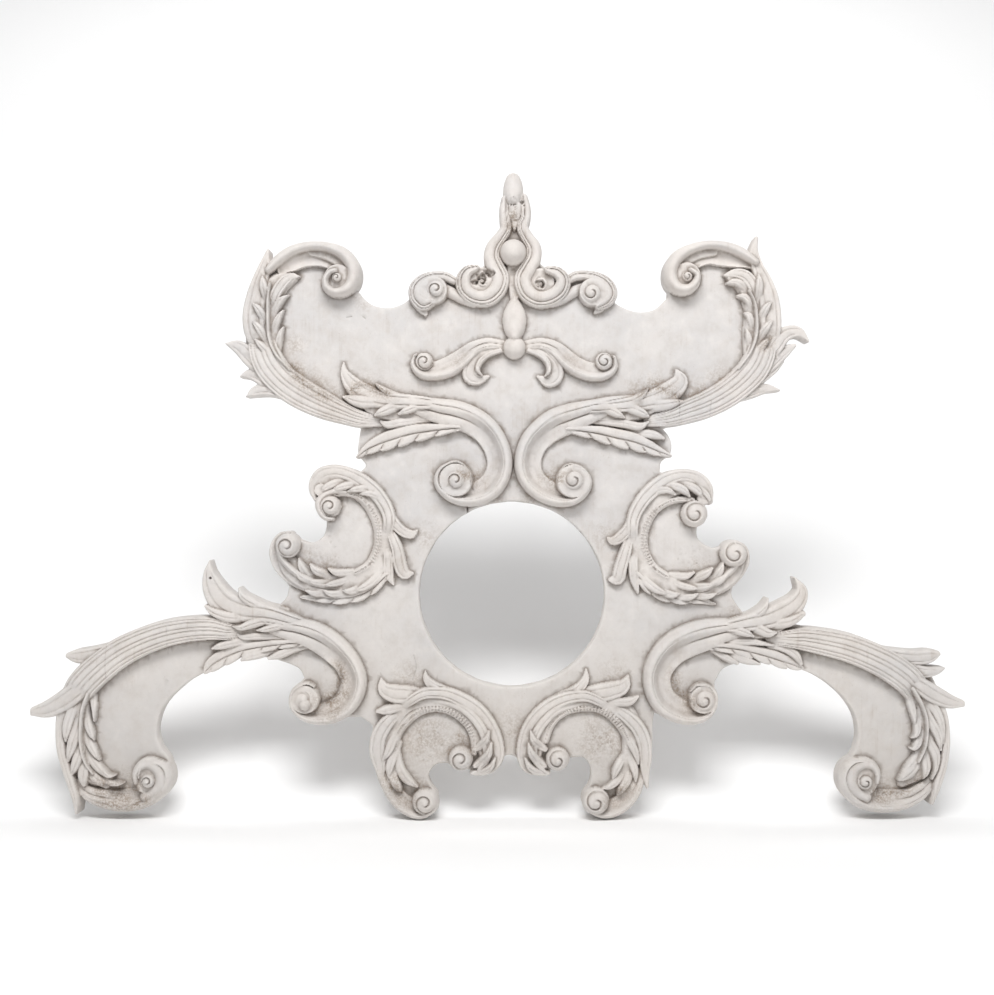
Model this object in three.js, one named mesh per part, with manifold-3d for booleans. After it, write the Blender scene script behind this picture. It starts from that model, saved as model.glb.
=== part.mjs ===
// Carved headpiece: scrolls, acanthus leaves and a round opening, worked in one glued-up panel.
// Millimetres. X runs right, Z runs up, and the carved face looks along -Y.
// The origin lies on the flat back, on the centre line, where the piece is fixed to what it crowns.
import * as THREE from "three";
import { mergeVertices } from "three/addons/utils/BufferGeometryUtils.js";
import Module from "manifold-3d";

// Driving dimensions
const overallWidth = 1498;
const boardThickness = 32;
const openingDiameter = 299;
const carvingDepth = 40;
const fixingHeight = 272;

// The drawing's own width and depth, which the layout below is drawn to
const drawnWidth = 1498;
const drawnDepth = 40;

// How finely the drawing's curves are cut into facets, and the seams between strands closed up
const bareEdgeFacet = 20;
const coveredEdgeFacet = 40;
const openingFacets = 40;
const knobSides = 10;
const facetLengths = {
  reeds: 50, triple: 24, scrollLeft: 28, scrollRight: 28, cove: 42, roll: 28, leaf: 26, lobe: 30,
};
const fewestFacets = 3;
const shortEdge = 15;
const seamTolerance = 1.4;
const foldLimit = 0.7;
const mergeDistance = 1e-3;

// Knob profile: the share of the radius and of the rise at each ring, from its foot to its top
const knobRings = [[1, 0.3], [0.78, 0.78], [0.36, 0.97]];

// Strands start this far in front of the back, and no strand is narrower than the thinnest
const backReveal = 3;
const thinnestStrand = 1.2;
const paintColour = 0xd6cdc4;

// Sections across a strand, from its right edge (-1) to its left edge (1) when followed from the
// root to the tip, with the share of the crest height that each point reaches.
const scrollSection = [[-0.95, 0.45], [-0.4, 0.3], [0.2, 0.85], [0.45, 1], [0.95, 0.4]];
const sections = {
  roll: [[-0.95, 0.35], [-0.4, 0.95], [0.4, 0.95], [0.95, 0.35]],
  cove: [[-0.95, 0.9], [0, 0.45], [0.95, 0.9]],
  lobe: [[-0.95, 0.2], [0, 1], [0.95, 0.2]],
  leaf: [[-0.95, 0.5], [-0.55, 1], [0, 0.55], [0.55, 1], [0.95, 0.5]],
  scrollLeft: scrollSection,
  scrollRight: scrollSection.map(([across, share]) => [-across, share]).reverse(),
  triple: reedSection(3),
  reeds: reedSection(4),
};

// Layout, as drawn. A strand is its section, the height of its crest above the ground at the root
// and at the tip, and stations of [x, z, half width], from the centre of the opening.
const leftWing = [
  ["reeds", 20, 20, [-402, 418, 21], [-398, 392, 25], [-387, 366, 26.5], [-366, 342, 25.5], [-339, 323, 25],
    [-306, 306, 22.5], [-272, 292, 17.5], [-243, 282, 13.5], [-211, 278, 8]],
  ["cove", 12, 12, [-370, 520, 6.5], [-354, 528, 10.5], [-333, 537, 12], [-310, 538, 11.5],
    [-293, 533, 10.5], [-280, 523, 9.5], [-277, 510, 9.5]],
  ["leaf", 20, 8, [-397, 354, 9.5], [-418, 378, 13.5], [-438, 397, 11], [-459, 403, 1.5]],
  ["leaf", 18, 8, [-386, 333, 9], [-405, 349, 11], [-421, 354, 8], [-436, 350, 1.5]],
  ["leaf", 18, 8, [-365, 322, 9], [-390, 329, 10.5], [-410, 327, 9], [-426, 318, 1.5]],
  ["leaf", 20, 12, [-400, 392, 13], [-411, 419, 17.5], [-414, 445, 18.5], [-411, 470, 17.5],
    [-405, 498, 14.5], [-398, 523, 10.5], [-391, 552, 2.5]],
  ["leaf", 22, 12, [-386, 453, 6.5], [-379, 480, 9], [-366, 501, 9.5], [-354, 510, 6.5], [-341, 510, 1.5]],
  ["roll", 24, 32, [-390, 520, 6.5], [-376, 534, 9.5], [-354, 550, 9.5], [-325, 558, 8.5], [-293, 556, 9],
    [-268, 544, 11], [-254, 523, 11.5], [-255, 502, 11.5], [-266, 488, 10], [-283, 484, 8],
    [-296, 492, 7.5], [-298, 504, 6.5], [-291, 515, 6], [-282, 518, 5]],
  ["knob", 30, 30, [-280, 507, 9]],
];

const leftScroll = [
  ["scrollLeft", 24, 30, [-192, 314, 6.5], [-163, 307, 13], [-138, 300, 17.5], [-115, 294, 21],
    [-94, 290, 23], [-70, 282, 23], [-46, 267, 22.5], [-29, 245, 21.5], [-20, 219, 21], [-22, 195, 21],
    [-35, 174, 21], [-56, 162, 20], [-80, 160, 18], [-101, 167, 15], [-113, 182, 13], [-111, 197, 9.5],
    [-101, 206, 7], [-90, 210, 6], [-77, 205, 4], [-69, 194, 2.5]],
  ["knob", 36, 36, [-90, 184, 17.5]],
  ["leaf", 18, 10, [-86, 267, 5], [-112, 265, 9.5], [-136, 262, 13], [-162, 258, 15.5], [-190, 250, 16],
    [-213, 242, 13.5], [-234, 232, 8], [-248, 221, 2.5]],
  ["leaf", 28, 10, [-104, 303, 3], [-128, 306, 9.5], [-171, 309, 13], [-208, 312, 15], [-238, 322, 17],
    [-258, 339, 13], [-269, 357, 6.5], [-270, 372, 1.5]],
  ["lobe", 24, 12, [-192, 310, 6.5], [-219, 308, 10], [-246, 310, 11.5], [-270, 317, 2.5]],
  ["lobe", 25, 12, [-163, 309, 6.5], [-186, 302, 9.5], [-205, 294, 9], [-219, 288, 2.5]],
];

const leftMid = [
  ["leaf", 13, 8, [-202, 30, 6.5], [-224, 10, 9.5], [-250, -2, 10.5], [-278, -6, 10], [-307, -5, 8],
    [-338, -4, 2.5]],
  ["scrollRight", 14, 26, [-275, 8, 8], [-314, 14, 12], [-342, 24, 14], [-363, 40, 14.5], [-376, 59, 13],
    [-379, 78, 9.5], [-371, 93, 7], [-357, 96, 6.5]],
  ["knob", 34, 34, [-359, 79, 20]],
  ["roll", 13, 13, [-285, 161, 5], [-267, 163, 5.5], [-246, 158, 6.5], [-230, 144, 7], [-218, 125, 7],
    [-213, 102, 7.5], [-214, 78, 7.5], [-220, 59, 7.5], [-232, 46, 7], [-251, 35, 6]],
  ["leaf", 22, 8, [-202, 88, 8], [-197, 125, 10.5], [-213, 157, 12], [-237, 179, 12.5], [-262, 193, 11],
    [-286, 198, 11], [-307, 192, 11], [-318, 179, 8], [-320, 166, 5.5], [-315, 152, 3]],
  ["roll", 16, 24, [-267, 165, 5], [-286, 166, 6.5], [-302, 158, 7.5], [-309, 146, 7.5], [-306, 133, 6.5],
    [-298, 124, 5.5], [-286, 122, 3]],
  ["knob", 32, 32, [-291, 142, 17.5]],
  ["leaf", 20, 8, [-198, 133, 6.5], [-186, 112, 8.5], [-171, 99, 8], [-160, 97, 6.5], [-152, 103, 1.5]],
  ["leaf", 22, 10, [-198, 107, 6.5], [-184, 74, 10], [-180, 50, 11], [-173, 34, 9.5], [-160, 34, 3]],
  ["leaf", 19, 8, [-202, 83, 6.5], [-198, 56, 8], [-198, 34, 8.5], [-190, 16, 1.5]],
  ["lobe", 20, 16, [-206, 46, 6.5], [-216, 29, 8.5], [-234, 14, 7.5], [-253, 6, 2.5]],
];

const leftArm = [
  ["reeds", 22, 20, [-427, -59, 9.5], [-454, -58, 14.5], [-480, -54, 18.5], [-515, -55, 20],
    [-555, -62, 21.5], [-595, -76, 22.5], [-630, -94, 24], [-662, -118, 25], [-688, -144, 25],
    [-706, -171, 22.5]],
  ["leaf", 20, 9, [-614, -80, 8], [-648, -89, 11], [-677, -97, 12.5], [-698, -99, 11], [-712, -98, 5]],
  ["leaf", 22, 9, [-653, -120, 13], [-688, -147, 17.5], [-718, -170, 17], [-746, -184, 13.5],
    [-771, -188, 6.5]],
  ["scrollLeft", 24, 30, [-419, -42, 6.5], [-394, -47, 11], [-368, -53, 16], [-339, -58, 21],
    [-309, -70, 23.5], [-282, -90, 23.5], [-263, -112, 22], [-254, -136, 22], [-259, -160, 21.5],
    [-272, -178, 20], [-293, -189, 19], [-315, -192, 16.5], [-334, -186, 14.5], [-346, -174, 12],
    [-346, -158, 9.5], [-338, -149, 7], [-327, -144, 6], [-318, -147, 4]],
  ["knob", 30, 30, [-332, -166, 24]],
  ["knob", 38, 38, [-330, -174, 13]],
  ["leaf", 16, 8, [-339, -77, 6.5], [-358, -78, 7.5], [-400, -83, 10], [-435, -90, 12.5], [-464, -102, 14],
    [-483, -114, 11], [-493, -125, 3]],
  ["lobe", 13, 6, [-379, -88, 5], [-406, -95, 8], [-424, -100, 6.5], [-434, -105, 2.5]],
  ["leaf", 28, 10, [-325, -48, 3], [-346, -42, 9.5], [-390, -30, 14.5], [-432, -25, 19], [-462, -13, 21.5],
    [-479, 10, 17.5], [-486, 34, 9], [-485, 54, 1.5]],
  ["lobe", 24, 12, [-400, -34, 6.5], [-427, -36, 9.5], [-454, -35, 10.5], [-477, -27, 8], [-490, -18, 3]],
  ["lobe", 26, 12, [-362, -38, 5], [-390, -40, 8.5], [-416, -46, 9], [-434, -52, 5.5], [-446, -50, 1.5]],
];

const leftFoot = [
  ["lobe", 18, 7, [-710, -166, 9.5], [-722, -194, 9.5], [-725, -224, 8.5], [-722, -251, 8.5],
    [-714, -277, 8.5], [-706, -302, 7.5], [-699, -326, 6.5], [-698, -350, 2.5]],
  ["lobe", 20, 10, [-698, -166, 9.5], [-707, -192, 10], [-712, -214, 9], [-714, -234, 2.5]],
  ["lobe", 21, 10, [-688, -178, 8], [-697, -216, 10], [-704, -242, 10], [-710, -266, 2.5]],
  ["lobe", 21, 10, [-690, -224, 6.5], [-692, -251, 10], [-699, -274, 8.5], [-704, -286, 2.5]],
  ["lobe", 20, 10, [-686, -248, 6.5], [-684, -270, 10], [-686, -290, 10], [-685, -304, 4]],
  ["lobe", 19, 10, [-682, -270, 6.5], [-669, -291, 9], [-656, -299, 8], [-643, -298, 2.5]],
  ["scrollRight", 12, 28, [-701, -301, 6.5], [-682, -318, 11], [-659, -326, 15.5], [-627, -331, 18],
    [-598, -326, 19], [-576, -314, 19.5], [-562, -297, 18.5], [-562, -280, 14.5], [-574, -273, 11],
    [-586, -277, 9], [-592, -288, 7]],
  ["knob", 32, 32, [-581, -297, 13.5]],
];

const leftBottom = [
  ["leaf", 18, 8, [-141, -163, 10.5], [-166, -160, 14.5], [-189, -159, 15], [-205, -152, 10.5],
    [-210, -136, 2.5]],
  ["roll", 11, 12, [-186, -240, 5], [-181, -219, 7.5], [-166, -200, 8], [-147, -187, 7.5],
    [-125, -182, 6.5], [-101, -186, 6.5], [-81, -198, 7], [-67, -214, 7], [-61, -234, 6.5], [-61, -253, 6]],
  ["leaf", 20, 8, [-141, -158, 9.5], [-107, -158, 10.5], [-78, -170, 12], [-54, -187, 12.5],
    [-36, -211, 12.5], [-26, -237, 12.5], [-24, -261, 11], [-34, -278, 8.5], [-51, -288, 3]],
  ["leaf", 18, 7, [-106, -155, 8], [-125, -147, 8.5], [-137, -136, 6], [-139, -123, 1.5]],
  ["lobe", 18, 8, [-141, -168, 5.5], [-107, -170, 8], [-80, -181, 8.5], [-58, -200, 9], [-44, -224, 9],
    [-40, -248, 8], [-42, -267, 6.5], [-54, -280, 2.5]],
  ["leaf", 18, 8, [-176, -186, 7], [-198, -203, 11.5], [-213, -227, 13], [-216, -253, 13],
    [-211, -277, 9.5], [-210, -299, 3]],
  ["scrollRight", 10, 24, [-211, -272, 6.5], [-202, -298, 11], [-187, -322, 14.5], [-168, -339, 15],
    [-147, -346, 15], [-130, -338, 13]],
  ["knob", 34, 34, [-139, -331, 21]],
  ["knob", 32, 32, [-82, -262, 19.5]],
  ["lobe", 16, 8, [-174, -206, 5.5], [-189, -230, 8.5], [-198, -251, 7.5], [-206, -264, 2.5]],
  ["lobe", 16, 8, [-184, -270, 6.5], [-190, -291, 9], [-184, -306, 8], [-179, -314, 3]],
  ["lobe", 17, 8, [-184, -251, 5.5], [-180, -277, 8], [-170, -294, 8.5], [-152, -307, 3]],
];

const crest = [
  ["roll", 17, 16, [3, 542, 13], [3, 512, 12], [4, 478, 8]],
  ["roll", 14, 12, [-61, 467, 6.5], [-80, 475, 8], [-99, 486, 9], [-114, 493, 9.5]],
  ["roll", 14, 12, [64, 467, 6.5], [82, 475, 8], [98, 486, 9], [112, 491, 9.5]],
  ["triple", 16, 22, [-93, 504, 6.5], [-106, 510, 8], [-123, 511, 8.5], [-141, 505, 10.5], [-153, 492, 12],
    [-153, 477, 12], [-142, 466, 12], [-130, 469, 8]],
  ["leaf", 14, 8, [-154, 475, 6.5], [-147, 464, 9.5], [-139, 451, 4]],
  ["knob", 28, 28, [-122, 489, 16]],
  ["triple", 16, 22, [90, 504, 6.5], [101, 511, 8], [118, 512, 8.5], [138, 507, 10.5], [152, 496, 12.5],
    [158, 482, 11.5], [151, 469, 9.5], [139, 462, 6.5]],
  ["leaf", 14, 8, [154, 472, 6.5], [142, 461, 7], [133, 452, 2]],
  ["knob", 28, 28, [127, 483, 17.5]],
  ["lobe", 18, 20, [4, 587, 3], [5, 610, 11], [4, 629, 12], [2, 640, 11]],
  ["roll", 26, 14, [2, 634, 12], [2, 643, 16], [2, 654, 15.5], [2, 666, 11.5], [2, 675, 4]],
  ["triple", 16, 26, [-11, 634, 6.5], [-12, 618, 8.5], [-11, 602, 9], [-10, 587, 9.5], [-19, 572, 10.5],
    [-29, 557, 12.5], [-32, 541, 13.5], [-26, 525, 14.5], [-18, 507, 14.5], [-24, 488, 14.5],
    [-41, 475, 14], [-62, 477, 13], [-76, 489, 12.5], [-78, 506, 12], [-71, 518, 10], [-58, 523, 6.5]],
  ["triple", 16, 26, [19, 637, 6.5], [22, 621, 8], [22, 605, 8.5], [17, 589, 9.5], [25, 572, 10.5],
    [34, 557, 12.5], [34, 540, 13], [25, 523, 14], [17, 506, 14.5], [23, 485, 14.5], [42, 473, 14],
    [62, 476, 14], [78, 488, 13.5], [82, 504, 12], [73, 516, 10], [58, 520, 7]],
  ["knob", 17, 17, [-48, 502, 12]],
  ["knob", 19, 19, [46, 499, 13]],
  ["knob", 40, 40, [2, 548, 22]],
  ["roll", 12, 24, [4, 477, 3], [4, 462, 12], [4, 445, 19], [4, 429, 17.5], [4, 414, 9.5]],
];

const drop = [
  ["scrollLeft", 20, 18, [-13, 400, 8], [-38, 402, 10.5], [-61, 394, 13], [-80, 379, 16], [-101, 366, 17],
    [-123, 359, 15.5], [-142, 360, 14], [-154, 370, 9.5], [-153, 381, 6.5]],
  ["knob", 22, 22, [-141, 374, 14.5]],
  ["leaf", 18, 9, [-16, 394, 5.5], [-40, 390, 7.5], [-55, 380, 10], [-65, 365, 13], [-66, 351, 13],
    [-54, 345, 8.5], [-38, 350, 2.5]],
  ["scrollRight", 20, 18, [21, 400, 8], [46, 402, 10.5], [69, 394, 13], [86, 379, 15.5], [104, 366, 15.5],
    [125, 358, 15.5], [146, 358, 14.5], [160, 366, 10.5], [161, 378, 7]],
  ["knob", 22, 22, [148, 374, 14.5]],
  ["leaf", 18, 9, [22, 394, 5.5], [46, 389, 7.5], [59, 378, 10], [68, 364, 13], [69, 350, 13],
    [58, 342, 9.5], [42, 350, 2.5]],
  ["knob", 26, 26, [4, 396, 18.5]],
];

const rightWing = [
  ["reeds", 20, 20, [402, 419, 21], [400, 392, 24], [389, 365, 25], [368, 341, 24], [342, 321, 23],
    [312, 305, 21.5], [282, 294, 19], [253, 284, 14.5], [221, 279, 9.5]],
  ["cove", 12, 12, [384, 530, 7], [362, 536, 12], [336, 540, 13.5], [314, 541, 11.5], [294, 533, 10.5],
    [280, 520, 9.5]],
  ["leaf", 20, 8, [406, 371, 9.5], [421, 397, 13.5], [438, 418, 12], [459, 422, 8.5], [476, 407, 2]],
  ["leaf", 17, 8, [394, 350, 9.5], [416, 371, 11.5], [435, 389, 10.5], [454, 400, 3]],
  ["leaf", 16, 8, [381, 336, 9.5], [403, 352, 10.5], [421, 365, 8.5], [434, 374, 3]],
  ["leaf", 16, 8, [358, 318, 9.5], [386, 326, 10.5], [408, 331, 7.5], [429, 328, 2]],
  ["leaf", 20, 12, [410, 395, 13], [414, 422, 17.5], [414, 450, 18], [411, 475, 17], [404, 501, 14],
    [394, 525, 10.5], [388, 550, 7.5], [392, 572, 3]],
  ["leaf", 22, 12, [392, 467, 6.5], [387, 491, 9.5], [376, 509, 10.5], [360, 515, 8.5], [341, 512, 2.5]],
  ["roll", 24, 32, [390, 533, 6.5], [366, 549, 9], [341, 558, 8.5], [314, 560, 8], [288, 554, 9],
    [266, 541, 11], [255, 522, 12], [256, 502, 12], [267, 490, 10.5], [283, 490, 9], [294, 501, 8],
    [295, 512, 6], [285, 519, 5]],
  ["knob", 30, 30, [280, 509, 9.5]],
];

const rightScroll = [
  ["scrollRight", 24, 30, [192, 314, 6.5], [162, 306, 13], [136, 297, 17.5], [114, 290, 21], [93, 283, 24],
    [70, 274, 25], [51, 261, 24], [36, 245, 23], [27, 224, 22.5], [26, 202, 22], [35, 182, 21],
    [53, 167, 20], [74, 159, 18.5], [94, 159, 17], [110, 168, 14.5], [118, 182, 11], [114, 194, 8],
    [102, 204, 6], [88, 206, 4], [78, 198, 2.5]],
  ["knob", 36, 36, [98, 184, 19.5]],
  ["leaf", 18, 10, [90, 264, 5], [115, 262, 9.5], [141, 258, 13], [166, 252, 15], [194, 246, 15],
    [216, 238, 12], [235, 230, 8], [254, 223, 3]],
  ["leaf", 28, 10, [101, 294, 3], [125, 299, 9], [165, 302, 11], [202, 307, 13.5], [230, 314, 16.5],
    [254, 326, 17.5], [270, 342, 13], [264, 360, 2.5]],
  ["lobe", 24, 12, [205, 306, 8], [229, 303, 11.5], [251, 305, 10], [272, 310, 3]],
  ["lobe", 25, 12, [166, 304, 6.5], [192, 298, 10], [208, 291, 8], [218, 286, 2.5]],
  ["lobe", 25, 12, [125, 304, 5.5], [149, 298, 9], [166, 291, 8], [179, 284, 2.5]],
];

const rightMid = [
  ["leaf", 13, 8, [200, 32, 6.5], [218, 14, 9.5], [240, 1, 10.5], [269, -6, 10], [298, -8, 7], [326, -15, 2]],
  ["scrollLeft", 14, 26, [275, 3, 6.5], [306, 6, 10.5], [336, 18, 13.5], [357, 35, 14.5], [369, 54, 13],
    [370, 72, 9], [360, 81, 6.5]],
  ["knob", 34, 34, [355, 66, 22]],
  ["roll", 13, 13, [290, 151, 5], [275, 153, 5.5], [254, 150, 6], [234, 139, 7], [220, 123, 7.5],
    [212, 102, 7.5], [211, 80, 7.5], [217, 59, 7.5], [229, 42, 7.5], [248, 29, 7]],
  ["leaf", 22, 8, [194, 80, 8], [194, 120, 10.5], [208, 149, 12], [229, 171, 13], [251, 186, 12],
    [275, 192, 10], [298, 186, 11], [312, 171, 10.5], [318, 150, 5]],
  ["knob", 32, 32, [292, 130, 21.5]],
  ["leaf", 20, 8, [195, 130, 6.5], [186, 106, 8.5], [173, 91, 9], [161, 86, 6.5], [153, 92, 1.5]],
  ["leaf", 22, 10, [190, 96, 6.5], [181, 66, 10], [174, 42, 11], [170, 26, 10.5], [157, 24, 3]],
  ["leaf", 19, 8, [197, 75, 6.5], [194, 48, 8], [197, 24, 7.5], [202, 3, 2]],
  ["lobe", 20, 16, [204, 41, 6.5], [214, 23, 8.5], [231, 9, 7.5], [250, 1, 2.5]],
];

const rightArm = [
  ["reeds", 22, 20, [416, -71, 9.5], [442, -70, 14.5], [470, -71, 19], [501, -76, 21.5], [536, -84, 23],
    [571, -97, 23.5], [605, -114, 24.5], [635, -136, 24], [656, -162, 21]],
  ["leaf", 20, 9, [586, -90, 8], [618, -98, 11.5], [648, -101, 12], [670, -99, 11], [683, -95, 5]],
  ["leaf", 18, 8, [610, -110, 8], [638, -119, 10], [664, -124, 9.5], [682, -122, 6.5], [694, -118, 1.5]],
  ["leaf", 22, 9, [624, -126, 11], [654, -146, 14.5], [680, -162, 15], [704, -172, 11], [725, -175, 5]],
  ["scrollRight", 24, 30, [406, -42, 6.5], [381, -48, 11], [357, -54, 16], [333, -58, 21], [307, -65, 26],
    [282, -74, 27], [259, -87, 26.5], [242, -106, 25], [233, -127, 23.5], [234, -149, 22.5],
    [243, -169, 22], [261, -183, 21], [283, -191, 18.5], [304, -189, 15.5], [318, -177, 11.5],
    [320, -162, 9], [311, -148, 6.5], [296, -146, 4.5], [286, -154, 2.5]],
  ["knob", 34, 34, [306, -167, 21.5]],
  ["leaf", 16, 8, [320, -83, 6.5], [362, -87, 10], [400, -96, 12.5], [432, -106, 12.5], [456, -114, 8],
    [466, -118, 3]],
  ["lobe", 13, 6, [333, -88, 5], [357, -98, 7.5], [378, -106, 6.5], [397, -111, 2.5]],
  ["leaf", 28, 10, [320, -54, 3], [342, -50, 9.5], [378, -44, 14.5], [410, -38, 17.5], [437, -27, 18.5],
    [457, -12, 15], [465, 6, 9.5], [454, 27, 1.5]],
  ["lobe", 22, 8, [352, -43, 5.5], [382, -36, 7.5], [402, -23, 6.5], [410, -6, 1.5]],
  ["lobe", 24, 12, [394, -46, 8], [419, -47, 10], [445, -42, 9.5], [466, -30, 5]],
  ["lobe", 26, 12, [368, -45, 6.5], [394, -54, 10.5], [410, -61, 8], [422, -60, 2.5]],
  ["lobe", 26, 12, [326, -51, 6.5], [354, -55, 9], [373, -60, 7.5], [386, -66, 2.5]],
];

const rightFoot = [
  ["lobe", 20, 10, [661, -160, 9.5], [675, -179, 9.5], [685, -200, 8], [690, -237, 2.5]],
  ["lobe", 21, 10, [654, -171, 8], [670, -202, 9.5], [681, -224, 8.5], [686, -248, 2.5]],
  ["lobe", 21, 10, [662, -211, 6.5], [670, -237, 9.5], [678, -256, 9], [678, -275, 5], [672, -294, 2]],
  ["lobe", 20, 10, [659, -245, 6.5], [663, -267, 9], [662, -282, 7], [658, -293, 2.5]],
  ["scrollLeft", 12, 28, [680, -293, 6.5], [661, -312, 12], [637, -326, 15.5], [610, -331, 18.5],
    [582, -330, 19.5], [558, -320, 20], [542, -302, 18], [541, -283, 14.5], [552, -271, 11],
    [566, -273, 9.5], [576, -283, 8]],
  ["knob", 32, 32, [563, -298, 14]],
];

const rightBottom = [
  ["leaf", 18, 8, [109, -163, 10.5], [136, -158, 14.5], [160, -154, 15], [179, -147, 11], [186, -131, 2.5]],
  ["roll", 11, 12, [54, -234, 6], [59, -214, 7.5], [70, -198, 7.5], [88, -187, 6.5], [110, -182, 6.5],
    [133, -182, 6.5], [152, -189, 7.5], [168, -202, 8], [181, -221, 7], [189, -240, 5]],
  ["leaf", 20, 8, [118, -162, 9.5], [90, -165, 10.5], [64, -176, 11.5], [42, -194, 12], [27, -216, 12],
    [20, -240, 12], [19, -261, 11], [27, -278, 9.5], [53, -289, 2.5]],
  ["leaf", 18, 7, [90, -160, 8], [107, -150, 8.5], [118, -136, 6.5], [119, -120, 1.5]],
  ["lobe", 18, 8, [128, -171, 5.5], [98, -175, 8], [70, -186, 8.5], [50, -205, 9], [37, -227, 9],
    [34, -250, 8], [40, -270, 6], [53, -283, 2.5]],
  ["leaf", 18, 8, [160, -181, 7], [184, -195, 11], [202, -214, 12], [212, -238, 12], [214, -261, 11],
    [214, -283, 7.5], [217, -309, 2.5]],
  ["scrollLeft", 10, 24, [208, -283, 6.5], [200, -307, 11], [186, -326, 14.5], [168, -340, 15],
    [147, -345, 14.5], [128, -338, 13]],
  ["knob", 34, 34, [134, -330, 22]],
  ["knob", 32, 32, [73, -263, 19]],
  ["lobe", 16, 8, [187, -272, 6.5], [186, -294, 8.5], [176, -310, 7.5], [170, -320, 3]],
];

// The board's edge, clockwise from the left wing, in stretches of [x, z]
const boardEdge = [
  ["covered", [-390, 531], [-354, 549], [-310, 557], [-278, 550], [-256, 525], [-250, 488]],
  ["bare", [-246, 486], [-234, 472], [-218, 463], [-195, 461], [-176, 467], [-162, 477]],
  ["covered", [-139, 498], [-115, 510], [-67, 512], [-32, 544], [-12, 581], [-12, 624], [2, 656]],
  ["covered", [18, 624], [18, 581], [35, 544], [74, 512], [118, 508], [144, 498]],
  ["bare", [160, 475], [173, 464], [201, 454], [229, 458], [251, 478]],
  ["covered", [254, 514], [267, 541], [301, 557], [341, 558], [371, 547], [393, 533], [411, 496],
    [422, 432], [413, 368], [403, 336], [368, 317], [301, 288]],
  ["bare", [243, 266], [253, 253], [257, 237], [254, 224]],
  ["bare", [253, 222], [240, 213], [238, 197]],
  ["covered", [250, 194], [285, 194], [314, 165], [304, 133]],
  ["bare", [298, 114], [299, 90], [322, 75], [339, 78]],
  ["covered", [358, 83], [374, 62], [368, 40]],
  ["bare", [357, 18], [354, -3], [374, -33]],
  ["covered", [405, -35], [453, -48], [533, -67], [621, -96], [669, -123], [691, -173], [695, -232],
    [691, -280], [669, -318], [629, -341], [576, -344], [534, -318], [530, -288], [544, -264]],
  ["bare", [552, -251], [557, -224], [549, -189], [522, -155], [480, -127], [429, -110], [389, -104]],
  ["bare", [362, -110], [339, -120], [326, -141]],
  ["covered", [326, -168], [301, -203], [256, -200], [229, -190]],
  ["covered", [226, -208], [226, -240], [222, -277], [205, -309], [173, -341], [141, -355], [118, -341]],
  ["bare", [115, -322], [126, -301], [126, -278], [114, -262], [91, -263]],
  ["covered", [80, -280], [58, -283], [26, -285]],
  ["bare", [10, -264], [-3, -258], [-14, -261]],
  ["covered", [-38, -285], [-80, -280], [-96, -277]],
  ["bare", [-104, -271], [-123, -274], [-134, -290], [-131, -304], [-118, -322]],
  ["covered", [-125, -350], [-150, -358], [-186, -341], [-214, -302], [-224, -251]],
  ["bare", [-224, -211], [-242, -197]],
  ["covered", [-266, -197], [-310, -206], [-352, -184], [-355, -158]],
  ["bare", [-334, -134], [-344, -118], [-378, -105], [-413, -98]],
  ["covered", [-459, -104], [-490, -122]],
  ["bare", [-499, -128], [-526, -145], [-558, -177], [-571, -214], [-566, -243], [-552, -262]],
  ["covered", [-544, -288], [-555, -320], [-595, -342], [-651, -339], [-688, -322], [-714, -280],
    [-726, -224], [-723, -187], [-694, -128], [-659, -91], [-587, -56], [-499, -38], [-435, -27],
    [-400, -27]],
  ["bare", [-379, -21], [-363, -5], [-358, 13]],
  ["covered", [-376, 37], [-384, 64], [-381, 88], [-362, 98]],
  ["bare", [-341, 88], [-322, 83], [-304, 93], [-298, 110], [-299, 123]],
  ["covered", [-310, 144], [-318, 168], [-310, 194], [-275, 203]],
  ["bare", [-243, 198], [-235, 208], [-246, 222]],
  ["bare", [-248, 232], [-246, 248], [-243, 267]],
  ["covered", [-267, 280], [-323, 298], [-371, 322], [-400, 354], [-426, 395], [-426, 448], [-413, 504]],
];

const motifs = [
  leftWing, leftScroll, leftMid, leftArm, leftFoot, leftBottom, crest, drop,
  rightWing, rightScroll, rightMid, rightArm, rightFoot, rightBottom,
];

const layoutScale = overallWidth / drawnWidth;
const depthScale = carvingDepth / drawnDepth;

// Shares of a bundle of equal reeds: a crest on each reed and a valley between neighbours
function reedSection(count) {
  const points = [];
  for (let reed = 0; reed < count; reed += 1) {
    const middle = (2 * reed + 1) / count - 1;
    if (reed > 0) points.push([middle - 1 / count, 0.6]);
    points.push([middle, 1]);
  }
  return points;
}

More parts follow.
